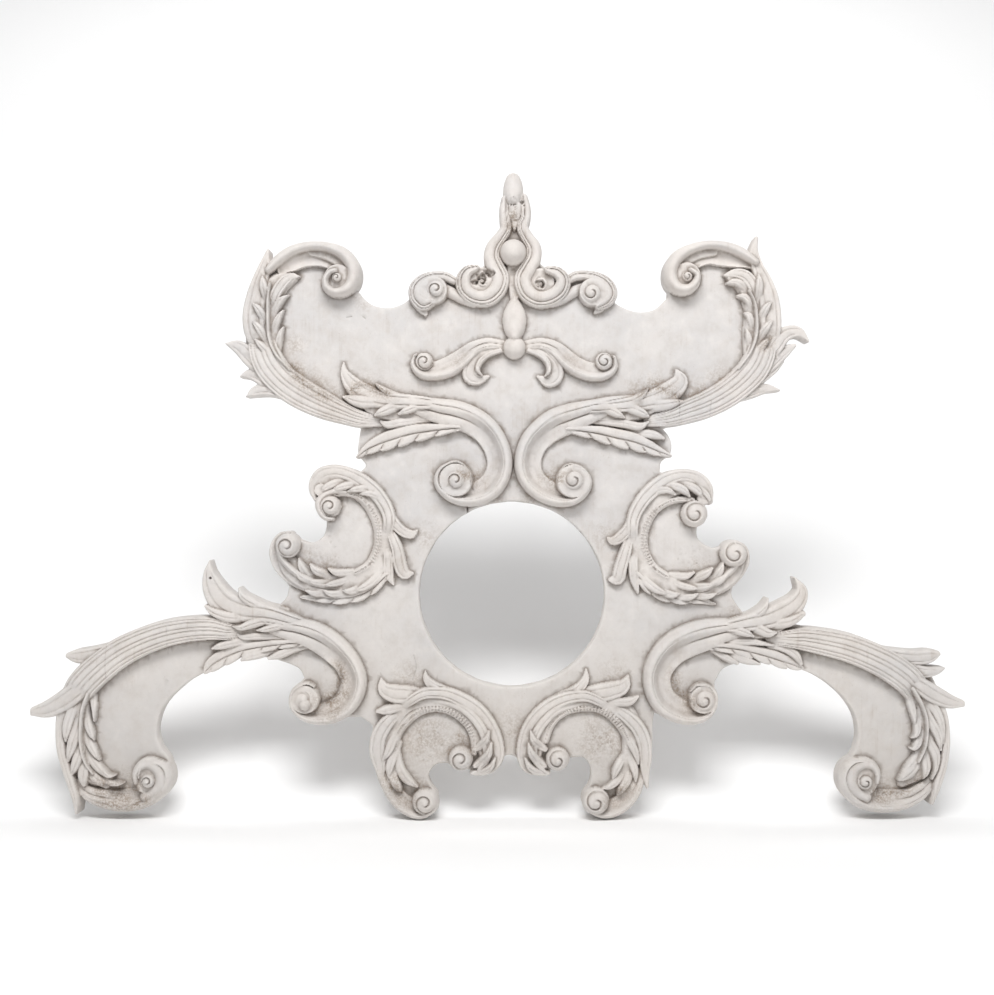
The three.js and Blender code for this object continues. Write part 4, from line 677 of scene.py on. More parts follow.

# Cracks: the soft width beside them, the depth at which the painted shade in one is darkest and their span,
# and the depth and span of a nail hole, in millimetres
CRACK_SOFT = 0.4
CRACK_DARKEST = 4
CRACK_SPAN = 6
NAIL_DEPTH = 5
NAIL_SPAN = 6

# Edges against the air: their radius and its straying. The thinnest wood that is left, the gap to
# the front of the solid's box, and how far behind the board's face the open air counts as lying.
EDGE_RADIUS = 3.2
EDGE_STRAY = 0.4
THINNEST_WOOD = 6
FRONT_GAP = 0.3
AIR_BEHIND = 6

# The paint guides fade in between these heights above the back, in millimetres. Hollows, pockets and
# crests are told from the surface around them: over this radius, and full at this depth or height.
# Hollows fade out, and the paler rubbed paint with its painted highlight sets in, between these
# distances from the edges against the air.
GUIDE_HEIGHTS = (4, 20)
HOLLOW_RADIUS = 2.3
HOLLOW_DEPTH = 1.5
POCKET_RADIUS = 12
POCKET_DEPTH = 9
CREST_RADIUS = 3.0
CREST_HEIGHT = 2.2
HOLLOW_FADE = (1.5, 4.5)
RUB_AND_HIGHLIGHT_FADE = (1.0, 4.0)
RUB_AND_HIGHLIGHT_EDGE = 0.7
SHARP_ANGLE = math.radians(52)

columns = int((GRID_X[1] - GRID_X[0]) / CELL)
rows = int((GRID_Z[1] - GRID_Z[0]) / CELL)
grid_x = GRID_X[0] + CELL * np.arange(columns)
grid_z = GRID_Z[0] + CELL * np.arange(rows)
top = np.zeros((rows, columns))             # height above the back, inside the outline
reach = np.full((rows, columns), -FAR)      # distance inside the outline, negative outside
nearest = np.zeros((rows, columns))         # height of whichever strand comes closest
rng = np.random.default_rng(7)


def window(low_x, high_x, low_z, high_z):
    """The grid's rows and columns that cover a box."""
    first_column = max(int((low_x - GRID_X[0]) / CELL), 0)
    last_column = min(int((high_x - GRID_X[0]) / CELL) + 2, columns)
    first_row = max(int((low_z - GRID_Z[0]) / CELL), 0)
    last_row = min(int((high_z - GRID_Z[0]) / CELL) + 2, rows)
    return slice(first_row, last_row), slice(first_column, last_column)


def places_in(area):
    """The x and z of each grid point in a window."""
    return np.meshgrid(grid_x[area[1]], grid_z[area[0]])


def around(x, z, span):
    """The window within a span of a place, and each grid point's offsets from the place."""
    area = window(x - span, x + span, z - span, z + span)
    xs, zs = places_in(area)
    return area, xs - x, zs - z


def to_segment(xs, zs, start, end):
    """Each grid point's share along a segment, and its distance from the segment."""
    ex, ez = end[0] - start[0], end[1] - start[1]
    size = max(ex * ex + ez * ez, SHORTEST**2)
    share = np.clip(((xs - start[0]) * ex + (zs - start[1]) * ez) / size, 0, 1)
    return share, np.hypot(xs - start[0] - share * ex, zs - start[1] - share * ez)


def smooth_path(points, step, power):
    """Catmull-Rom through the points, resampled at an even step, and its length."""
    points = np.asarray(points, float)
    padded = np.vstack([2 * points[0] - points[1], points, 2 * points[-1] - points[-2]])
    fine = []
    share = np.linspace(0, 1, FINE_STEPS + 1)[:-1, None]
    for a, b, c, d in zip(padded[:-3], padded[1:-2], padded[2:-1], padded[3:]):
        ab, bc, cd = (max(np.linalg.norm(chord), SHORTEST) ** power for chord in (b - a, c - b, d - c))
        out = ((b - a) / ab - (c - a) / (ab + bc) + (c - b) / bc) * bc
        into = ((c - b) / bc - (d - b) / (bc + cd) + (d - c) / cd) * bc
        cubic = (2 * b - 2 * c + out + into, -3 * b + 3 * c - 2 * out - into)
        fine.append(cubic[0] * share**3 + cubic[1] * share**2 + out * share + b)
    fine = np.vstack([*fine, points[-1:]])
    gaps = np.hypot(*np.diff(fine[:, :2], axis=0).T)
    along = np.concatenate([[0], np.cumsum(gaps)])
    count = max(2, int(round(along[-1] / step)) + 1)
    even = np.linspace(0, along[-1], count)
    return np.column_stack([np.interp(even, along, column) for column in fine.T]), along[-1]


def fade(values, start, end):
    """0 at start and 1 at end, smoothly."""
    share = np.clip((values - start) / (end - start), 0, 1)
    return share * share * (3 - 2 * share)


def rounded(across):
    """The height of a half circle, from 0 at either edge to 1 in the middle."""
    return np.sqrt(np.clip(1 - across * across, 0, 1))


def lines(across, places, width):
    """1 on each of the lines cut along a strand, 0 between them."""
    return sum(np.exp(-(((across - place) / width) ** 2)) for place in places)


def scroll_profile(across, share):
    """A moulded run that turns into a coved volute."""
    run = np.interp(across, *SCROLL_RUN)
    volute = np.interp(across, *SCROLL_VOLUTE)
    turned = fade(share, *SCROLL_TURNS)
    return run * (1 - turned) + volute * turned


def tongues(outward, along, half):
    """On a leaf's fringed side: the cuts between tongues, the share of the width that is scalloped
    away, and the domes of the tongues."""
    phase = (along - TONGUE_SLANT * outward * half) / TONGUE_PITCH
    gap = np.abs((phase + 0.5) % 1 - 0.5)
    cut = np.exp(-((gap / TONGUE_CUT) ** 2)) * fade(outward, 0.05, 0.6)
    dome = rounded(np.clip(1 - 2 * gap, 0, 1))
    scallop = (1 - dome) * TONGUE_SCALLOP * (outward > 0)
    return cut, scallop, dome


def fringed_profile(outward, along, half):
    """A stem along one side of the leaf, and domed tongues on the other."""
    cut, _, dome = tongues(outward, along, half)
    stem = 0.82 + 0.18 * rounded(np.clip((outward + 0.48) / 0.5, -1, 1))
    stem -= 0.2 * lines(outward, (0.04,), 0.09)
    leafy = fade(outward, 0.02, 0.3) * fade(half, 4, 8)
    shaped = stem * (1 - leafy) + (0.6 + 0.34 * dome - 0.12 * cut) * leafy
    return shaped - 0.36 * fade(np.abs(outward), 0.82, 1) ** 1.3


def beaded_profile(across, share, along):
    """A roll split along its crest, with beads over the middle of its length."""
    edge = np.abs(across)
    bead = 0.5 + 0.5 * np.cos(2 * math.pi * along / BEAD_PITCH)
    beads = fade(share, 0.25, 0.4) * (1 - fade(share, 0.8, 0.92)) * lines(edge, (0.45,), 0.3)
    split = 0.2 * lines(edge, (0.12,), 0.08)
    return 0.12 + 0.88 * rounded(across) - BEAD_DEPTH * beads * (1 - bead) - split


def profile(kind, across, share, along, half):
    """Share of the crest height at a place across a strand and along it. A section is its height at
    the edge, its rise to the middle, what is cut into it, and the drop where its edge is eased off."""
    edge = np.abs(across)
    if kind == "reeds":
        ground = 0.82 + 0.18 * rounded(across) - 0.34 * fade(edge, 0.88, 1)
        return ground - REED_DEPTH * lines(across, REED_LINES, REED_WIDTH)
    if kind == "base":
        return 1 - 0.7 * fade(edge, 0.7, 1)
    if kind == "blade":
        folds = FOLD_DEPTH * lines(across, BLADE_FOLDS, FOLD_WIDTH) * fade(half, 5, 9)
        return 0.84 + 0.16 * rounded(across) - folds - 0.4 * fade(edge, 0.84, 1)
    if kind == "lobe":
        vein = VEIN_DEPTH * lines(across, LOBE_VEIN, VEIN_WIDTH)
        return 0.8 + 0.2 * (1 - edge**2) - vein - 0.45 * fade(edge, 0.66, 1) ** 1.2
    if kind in ("ribbedLeft", "ribbedRight"):
        return np.interp(across if kind == "ribbedLeft" else -across, *RIBBED)
    if kind in ("scrollLeft", "scrollRight"):
        return scroll_profile(across if kind == "scrollLeft" else -across, share)
    if kind in FRINGED:
        return fringed_profile(across * FRINGED[kind], along, half)
    if kind == "beaded":
        return beaded_profile(across, share, along)
    if kind == "cove":
        return 0.42 + 0.5 * across**2 - 0.6 * fade(edge, 0.9, 1)
    if kind == "roll":
        return 0.12 + 0.88 * rounded(across)
    if kind == "curl":
        return 0.2 + 0.8 * np.sqrt(1 - np.minimum(edge, 1) ** 2.8)
    if kind == "disc":
        return 1 - 0.8 * fade(edge, 0.88, 1)
    return 0.05 + 0.95 * rounded(across) ** 0.9


def lay(area, inside, height):
    """Adds a shape to the height field: inside is its distance within its own edge."""
    covered = inside > 0
    top[area] = np.where(covered, np.maximum(top[area], height), top[area])
    closest = inside > reach[area]
    nearest[area] = np.where(closest, height, nearest[area])
    reach[area] = np.maximum(reach[area], inside)


def lay_strand(kind, root_crest, tip_crest, stations):
    """A strand swept along its stations. A lobe swells from its root and drops at its tip."""
    path, length = smooth_path(stations, STRAND_STEP, CENTRIPETAL)
    path[:, 2] = np.maximum(path[:, 2], THINNEST)
    margin = path[:, 2].max() + MARGIN
    low, high = path[:, :2].min(0) - margin, path[:, :2].max(0) + margin
    area = window(low[0], high[0], low[1], high[1])
    xs, zs = places_in(area)
    across = np.full(xs.shape, FAR)
    along = np.zeros(xs.shape)
    half = np.ones(xs.shape)
    spacing = length / (len(path) - 1)
    for index, (start, end) in enumerate(zip(path[:-1], path[1:])):
        pad = max(start[2], end[2]) + MARGIN
        part = window(min(start[0], end[0]) - pad, max(start[0], end[0]) + pad,
                      min(start[1], end[1]) - pad, max(start[1], end[1]) + pad)
        local = tuple(slice(inner.start - outer.start, inner.stop - outer.start)
                      for inner, outer in zip(part, area))
        share, distance = to_segment(xs[local], zs[local], start, end)
        width = start[2] + (end[2] - start[2]) * share
        dx, dz = xs[local] - start[0], zs[local] - start[1]
        side = np.where((end[0] - start[0]) * dz - (end[1] - start[1]) * dx >= 0, 1, -1)
        place = side * distance / width
        closer = np.abs(place) < np.abs(across[local])
        across[local] = np.where(closer, place, across[local])
        along[local] = np.where(closer, (index + share) * spacing, along[local])
        half[local] = np.where(closer, width, half[local])
    share = along / length
    crest = root_crest + (tip_crest - root_crest) * share
    if kind in SINKING_ROOT:
        risen = fade(along, 0, min(SINKING_LENGTH, SINKING_PART * length))
        crest *= SUNKEN_SHARE + (1 - SUNKEN_SHARE) * risen
    if kind == "reeds":
        crest *= 1 - REEDS_TIP_SINKS * fade(along, length - SINKING_LENGTH, length)
    if kind == "lobe":
        crest = root_crest * (0.5 + 0.5 * fade(share, 0.1, 0.7)) * (1 - 0.2 * fade(share, 0.85, 1))
    height = BOARD + crest * profile(kind, np.clip(across, -1, 1), share, along, half)
    inside = half * (1 - np.abs(across))
    if kind in FRINGED:
        _, scallop, _ = tongues(across * FRINGED[kind], along, half)
        inside -= half * scallop * fade(half, 5, 9)
    lay(area, inside, height)


def lay_knob(kind, rise, x, z, radius):
    """A round knob or disc. A curl has a spiral cut into it, mirrored on the right half."""
    area, dx, dz = around(x, z, radius + MARGIN)
    out = np.hypot(dx, dz) / radius
    height = BOARD + rise * profile(kind, np.clip(out, 0, 1), 0, 0, 0)
    if kind == "curl":
        turn = np.arctan2(dz, dx) / (2 * math.pi) * (1 if x < 0 else -1)
        coil = (out * SPIRAL_TURNS - turn) % 1
        groove = SPIRAL_DEPTH * np.exp(-(((coil - 0.5) / SPIRAL_WIDTH) ** 2))
        height -= groove * fade(out, 0.1, 0.26) * (1 - fade(out, 0.92, 1))
        height += EYE_RISE * np.exp(-((out / EYE_RADIUS) ** 2))
    lay(area, radius * (1 - out), height)


def lay_board():
    """The flat board within its outline, with the round opening."""
    outline = np.vstack([smooth_path(corners, EDGE_STEP, UNIFORM)[0] for corners in BOARD_EDGE])
    following = np.roll(outline, -1, axis=0)
    inside = np.zeros((rows, columns), bool)
    for (x0, z0), (x1, z1) in zip(outline, following):
        if z0 == z1:
            continue
        crossed = np.flatnonzero((grid_z > min(z0, z1)) & (grid_z <= max(z0, z1)))
        for row in crossed:
            x = x0 + (grid_z[row] - z0) / (z1 - z0) * (x1 - x0)
            inside[row, max(int(math.ceil((x - GRID_X[0]) / CELL)), 0):] ^= True
    edge = np.full((rows, columns), FAR)
    for start, end in zip(outline, following):
        low, high = np.minimum(start, end) - FAR, np.maximum(start, end) + FAR
        area = window(low[0], high[0], low[1], high[1])
        edge[area] = np.minimum(edge[area], to_segment(*places_in(area), start, end)[1])
    everywhere = (slice(0, rows), slice(0, columns))
    ring = np.hypot(*places_in(everywhere)) - OPENING_RADIUS
    distance = np.minimum(np.where(inside, edge, -edge), ring)
    lay(everywhere, distance, np.full((rows, columns), BOARD))


def blur(field, radius):
    """A soft average over about the radius in millimetres, from three box averages."""
    cells = max(1, int(round(radius / CELL / 1.7)))
    size = 2 * cells + 1
    for _ in range(3):
        for axis in (0, 1):
            pad = [(cells + 1, cells) if each == axis else (0, 0) for each in (0, 1)]
            total = np.cumsum(np.pad(field, pad, mode="edge"), axis=axis)
            ahead = np.take(total, range(size, total.shape[axis]), axis=axis)
            behind = np.take(total, range(0, total.shape[axis] - size), axis=axis)
            field = (ahead - behind) / size
    return field


def cloudy(scale):
    """Smooth seeded noise of the given scale in millimetres, from about -1 to 1."""
    coarse = rng.standard_normal((int(rows * CELL / scale) + 3, int(columns * CELL / scale) + 3))
    at_row = np.arange(rows) * CELL / scale
    at_column = np.arange(columns) * CELL / scale
    row, column = at_row.astype(int), at_column.astype(int)
    down, right = fade(at_row - row, 0, 1)[:, None], fade(at_column - column, 0, 1)[None, :]
    upper = coarse[row][:, column] * (1 - right) + coarse[row][:, column + 1] * right
    lower = coarse[row + 1][:, column] * (1 - right) + coarse[row + 1][:, column + 1] * right
    return (upper * (1 - down) + lower * down) * 0.6


def distance_to_line(points, pad):
    """The window within a pad of a curve through the points, and the distance to the curve."""
    path, _ = smooth_path(points, LINE_STEP, UNIFORM)
    low, high = path.min(0) - pad, path.max(0) + pad
    area = window(low[0], high[0], low[1], high[1])
    xs, zs = places_in(area)
    distances = [to_segment(xs, zs, start, end)[1] for start, end in zip(path[:-1], path[1:])]
    return area, np.min(distances, axis=0)


# Sculpt the height field
lay_board()
for kind, root_crest, tip_crest, *stations in [strand for motif in MOTIFS for strand in motif]:
    if kind in ("knob", "curl", "disc"):
        lay_knob(kind, root_crest, *stations[0])
    else:
        lay_strand(kind, root_crest, tip_crest, stations)
relief = fade(top - BOARD, 0.6, 3.0)        # 0 on the ground, 1 on the carving

# The ground isn't flat: it dips a little beside the carving and carries shallow gouge marks
beside = blur(relief, DIP_REACH) * (1 - relief)
top -= (1 - relief) * (DIP_DEPTH * beside + GOUGE_DEPTH * np.abs(cloudy(GOUGE_LENGTH)))
top += WAVE_DEPTH * cloudy(WAVE_LENGTH) * relief + GRAIN_DEPTH * cloudy(GRAIN_LENGTH)
for x, z, radius, pits in PITTED:
    for _ in range(pits):
        turn, out = rng.uniform(0, 2 * math.pi), radius * math.sqrt(rng.uniform())
        size, deep = rng.uniform(*PIT_SIZES), rng.uniform(*PIT_DEPTHS)
        area, dx, dz = around(x + out * math.cos(turn), z + out * math.sin(turn), PIT_SPAN)
        top[area] -= deep * np.exp(-(dx**2 + dz**2) / size**2) * (1 - relief[area])

# Breaks, torn wood, dirt, creases, cracks and nail holes
rough = np.abs(cloudy(4)) + 0.6 * np.abs(cloudy(2.6))
dark_marks_and_shade = np.zeros((rows, columns))
dirt = np.zeros((rows, columns))
for x, z, radius, deep in CHIPS:
    area, dx, dz = around(x, z, radius + CHIP_SPAN)
    inside = 1 - fade(np.hypot(dx, dz) + CHIP_STRAY * cloudy(6)[area], radius * 0.55, radius)
    top[area] -= inside * (deep * 0.7 + CHIP_ROUGHNESS * rough[area])
    dark_marks_and_shade[area] = np.maximum(dark_marks_and_shade[area], CHIP_DARKNESS * inside)
for x, z, radius in TORN:
    area, dx, dz = around(x, z, radius)
    top[area] -= TORN_ROUGHNESS * rough[area] * (1 - fade(np.hypot(dx, dz), radius * 0.6, radius))
for x, z, radius, strength in DIRTY:
    area, dx, dz = around(x, z, 2 * radius)
    spread = strength * np.exp(-(dx**2 + dz**2) / radius**2)
    if strength < 1:
        spread *= np.clip(1.25 - (top[area] - BOARD) / DIRT_HEIGHT, 0.1, 1)
    dirt[area] = np.maximum(dirt[area], spread)
# Creases, cracks and nail holes are darkened with painted shade, darker as a crack is deeper; creases have
# dirt beside them
for half, strength, *points in CREASES:
    area, distance = distance_to_line(points, CREASE_SPAN)
    line = np.exp(-(((distance + CREASE_STRAY * cloudy(7)[area]) / half) ** 2))
    dirt[area] = np.maximum(dirt[area], np.exp(-((distance / CREASE_DIRT) ** 2)))
    dark_marks_and_shade[area] = np.maximum(dark_marks_and_shade[area], strength * line)
for half, deep, *points in CRACKS:
    area, distance = distance_to_line(points, CRACK_SPAN)
    line = np.exp(-((distance / (half + CRACK_SOFT)) ** 2))
    top[area] -= deep * line
    dark_marks_and_shade[area] = np.maximum(dark_marks_and_shade[area], line * min(1, deep / CRACK_DARKEST))
for x, z in NAILS:
    area, dx, dz = around(x, z, NAIL_SPAN)
    hole = 1 - fade(np.hypot(dx, dz), NAIL_RADIUS * 0.7, NAIL_RADIUS * 1.3)
    top[area] -= NAIL_DEPTH * hole
    dark_marks_and_shade[area] = np.maximum(dark_marks_and_shade[area], hole)

# Edges against the air are rounded over and a little worn
turned = np.clip(1 - (reach + EDGE_STRAY * cloudy(9)) / EDGE_RADIUS, 0, 1)
top = np.where(reach > 0, top, nearest)
top -= EDGE_RADIUS * (1 - np.sqrt(1 - np.minimum(turned, 0.999) ** 2))
top = np.clip(top, THINNEST_WOOD, (cad_high.y - cad_low.y) / MM - FRONT_GAP)

# What the paint follows: hollows get grime and painted shade, pockets dust and painted shade, and crests
# are rubbed paler with a painted highlight
solid = reach > 0
filled = np.where(solid, top, BOARD - AIR_BEHIND)
hollow = np.clip((blur(filled, HOLLOW_RADIUS) - filled) / HOLLOW_DEPTH - 0.1, 0, 1)
hollow *= fade(reach, *HOLLOW_FADE)
pocket = np.clip((blur(filled, POCKET_RADIUS) - filled) / POCKET_DEPTH, 0, 1)
crest = np.clip((filled - blur(filled, CREST_RADIUS)) / CREST_HEIGHT, 0, 1)
# Edges against the air are paler too: rubbed paint and a painted highlight
crest = np.maximum(crest, RUB_AND_HIGHLIGHT_EDGE * (1 - fade(reach, *RUB_AND_HIGHLIGHT_FADE)))
GUIDES = {
    "carved": relief, "hollow": hollow, "pocket": pocket, "crest": crest, "dark_marks_and_shade": dark_marks_and_shade, "dirt": dirt,
}


def front_points():
    """The grid's own points inside the outline, then one wherever the outline crosses a grid line,
    with the numbers of both kinds of point by their places on the grid."""
    index = np.full((rows, columns), -1)
    index[solid] = np.arange(solid.sum())
    where = np.argwhere(solid)
    points = [np.column_stack([grid_x[where[:, 1]], grid_z[where[:, 0]], top[solid]])]
    count = len(where)
    crossings = []
    for right, up in ((1, 0), (0, 1)):
        near = (slice(0, rows - up), slice(0, columns - right))
        far = (slice(up, rows), slice(right, columns))
        crossed = solid[near] != solid[far]
        at = np.argwhere(crossed)
        share = reach[near][crossed] / (reach[near][crossed] - reach[far][crossed])
        share = np.clip(share, 0.06, 0.94)
        x = grid_x[at[:, 1]] + right * share * CELL
        z = grid_z[at[:, 0]] + up * share * CELL
        height = top[near][crossed] * (1 - share) + top[far][crossed] * share
        points.append(np.column_stack([x, z, height]))
        numbers = np.full(crossed.shape, -1)
        numbers[crossed] = count + np.arange(len(at))
        crossings.append(numbers)
        count += len(at)
    return np.vstack(points), index, crossings


def front_faces(points, index, flat, upright):
    """Marching squares over the grid: its triangles, and the stretches of rim along the outline."""
    corners = [index[:-1, :-1], index[:-1, 1:], index[1:, 1:], index[1:, :-1]]
    edges = [flat[:-1, :], upright[:, 1:], flat[1:, :], upright[:, :-1]]
    code = sum((corner >= 0).astype(int) << place for place, corner in enumerate(corners))
    triangles, rim = [], []
    for case in range(1, 16):
        cells = code == case
        ring = []
        for place in range(4):
            if case >> place & 1:
                ring.append(("corner", corners[place][cells]))
            if (case >> place & 1) != (case >> (place + 1) % 4 & 1):
                ring.append(("edge", edges[place][cells]))
        if case == 15:
            a, b, c, d = (numbers for _, numbers in ring)
            lean = np.abs(points[a, 2] - points[c, 2]) < np.abs(points[b, 2] - points[d, 2])
            first = np.where(lean[:, None], np.column_stack([a, b, c]), np.column_stack([a, b, d]))
            second = np.where(lean[:, None], np.column_stack([a, c, d]), np.column_stack([b, c, d]))
            triangles += [first, second]
            continue
        for (sort, here), (next_sort, there) in zip(ring, ring[1:] + ring[:1]):
            if sort == next_sort == "edge":
                rim.append(np.column_stack([here, there]))
        for second, third in zip(ring[1:-1], ring[2:]):
            triangles.append(np.column_stack([ring[0][1], second[1], third[1]]))
    return np.vstack(triangles), np.vstack(rim)


def walls_and_back(points, rim):
    """Plumb side walls from the rim down to points on the back, and a flat back between those."""
    count = len(points)
    on_rim = np.unique(rim)
    foot = np.full(count, -1)
    foot[on_rim] = count + np.arange(len(on_rim))
    feet = points[on_rim].copy()
    feet[:, 2] = 0
    here, there = rim[:, 0], rim[:, 1]
    upper = np.column_stack([here, foot[here], there])
    lower = np.column_stack([there, foot[here], foot[there]])
    flat = [Vector(place[:2]) for place in feet]
    ends = [(int(a - count), int(b - count)) for a, b in zip(foot[here], foot[there])]
    found, _, faces, sources, *_ = delaunay_2d_cdt(flat, ends, [], 1, 1e-4)
    back = []
    for face in faces:
        x, z = (sum(found[corner][axis] for corner in face) / 3 for axis in (0, 1))
        if reach[round((z - GRID_Z[0]) / CELL), round((x - GRID_X[0]) / CELL)] > -0.5:
            back.append([count + sources[corner][0] for corner in face])
    return feet, np.vstack([upper, lower]), back


def headpiece_mesh():
    """One closed mesh in the shared frame, with its faces turned outwards."""
    points, index, crossings = front_points()
    front, rim = front_faces(points, index, *crossings)
    feet, walls, back = walls_and_back(points, rim)
    points = np.vstack([points, feet])
    places = np.column_stack([points[:, 0], -points[:, 2], points[:, 1] - FIXING_HEIGHT]) * MM
    mesh = bpy.data.meshes.new("headpiece_carving")
    mesh.from_pydata(places.tolist(), [], np.vstack([front, walls]).tolist() + back)
    mesh.validate()
    sides = bmesh.new()
    sides.from_mesh(mesh)
    bmesh.ops.triangulate(sides, faces=[face for face in sides.faces if len(face.verts) > 3])
    bmesh.ops.recalc_face_normals(sides, faces=sides.faces)
    loose = [vertex for vertex in sides.verts if not vertex.link_faces]
    bmesh.ops.delete(sides, geom=loose, context="VERTS")
    sides.to_mesh(mesh)
    sides.free()
    return mesh


def thin_out(piece):
    """Thins the mesh where its surface is plain, and keeps it in the solid's box."""
    thin = piece.modifiers.new("thin", "DECIMATE")
    thin.ratio = TRIANGLES_KEPT / len(piece.data.polygons)
    evaluated = piece.evaluated_get(bpy.context.evaluated_depsgraph_get())
    thinned = bpy.data.meshes.new_from_object(evaluated)
    piece.modifiers.clear()
    piece.data = thinned
    thinned.name = "headpiece_carving"
    places = np.empty(3 * len(thinned.vertices))
    thinned.vertices.foreach_get("co", places)
    places = np.clip(places.reshape(-1, 3), np.array(cad_low), np.array(cad_high))
    thinned.vertices.foreach_set("co", places.ravel())
    return thinned, places / MM


def add_guides(mesh, places):
    """What the paint follows, read from the sculpting grid at each vertex."""
    at_column = np.clip((places[:, 0] - GRID_X[0]) / CELL, 0, columns - 1.001)
    at_row = np.clip((places[:, 2] + FIXING_HEIGHT - GRID_Z[0]) / CELL, 0, rows - 1.001)
    column, row = at_column.astype(int), at_row.astype(int)
    right, up = at_column - column, at_row - row
    in_front = fade(-places[:, 1], *GUIDE_HEIGHTS)
    for name, field in GUIDES.items():
        value = (field[row, column] * (1 - right) + field[row, column + 1] * right) * (1 - up)
        value += (field[row + 1, column] * (1 - right) + field[row + 1, column + 1] * right) * up
        layer = mesh.attributes.new(name, "FLOAT", "POINT")
        layer.data.foreach_set("value", (value * in_front).astype(np.float32))


headpiece = bpy.data.objects.new("headpiece_carving", headpiece_mesh())
bpy.context.scene.collection.objects.link(headpiece)
thinned, vertex_places = thin_out(headpiece)
add_guides(thinned, vertex_places)
thinned.polygons.foreach_set("use_smooth", np.ones(len(thinned.polygons), bool))
thinned.set_sharp_from_angle(angle=SHARP_ANGLE)

# Paint colours, in linear light
GROUND_PAINT = (0.64, 0.612, 0.592)
CARVED_PAINT = (0.66, 0.618, 0.585)
COOL_PAINT = (0.56, 0.548, 0.548)
WARM_PAINT = (0.55, 0.5, 0.46)
STAINED = (0.46, 0.42, 0.385)
LOW_PAINT = (0.5, 0.46, 0.415)
# Paler paint for random pale patches, and for rubbed crests with a painted highlight
PALE_PAINT_AND_HIGHLIGHT = (0.78, 0.745, 0.71)
BARE_WOOD = (0.3, 0.215, 0.15)
# Brown for dust and painted shade in the pockets
DUST_AND_SHADE = (0.36, 0.29, 0.235)
# Dark brown for grime and painted shade in the hollows
GRIME_AND_SHADE = (0.17, 0.13, 0.1)
# Near black for painted shade in cracks, creases and nail holes, with some dirt
CRACK_SHADE_AND_DIRT = (0.09, 0.065, 0.05)
SETTLED = (0.27, 0.205, 0.15)


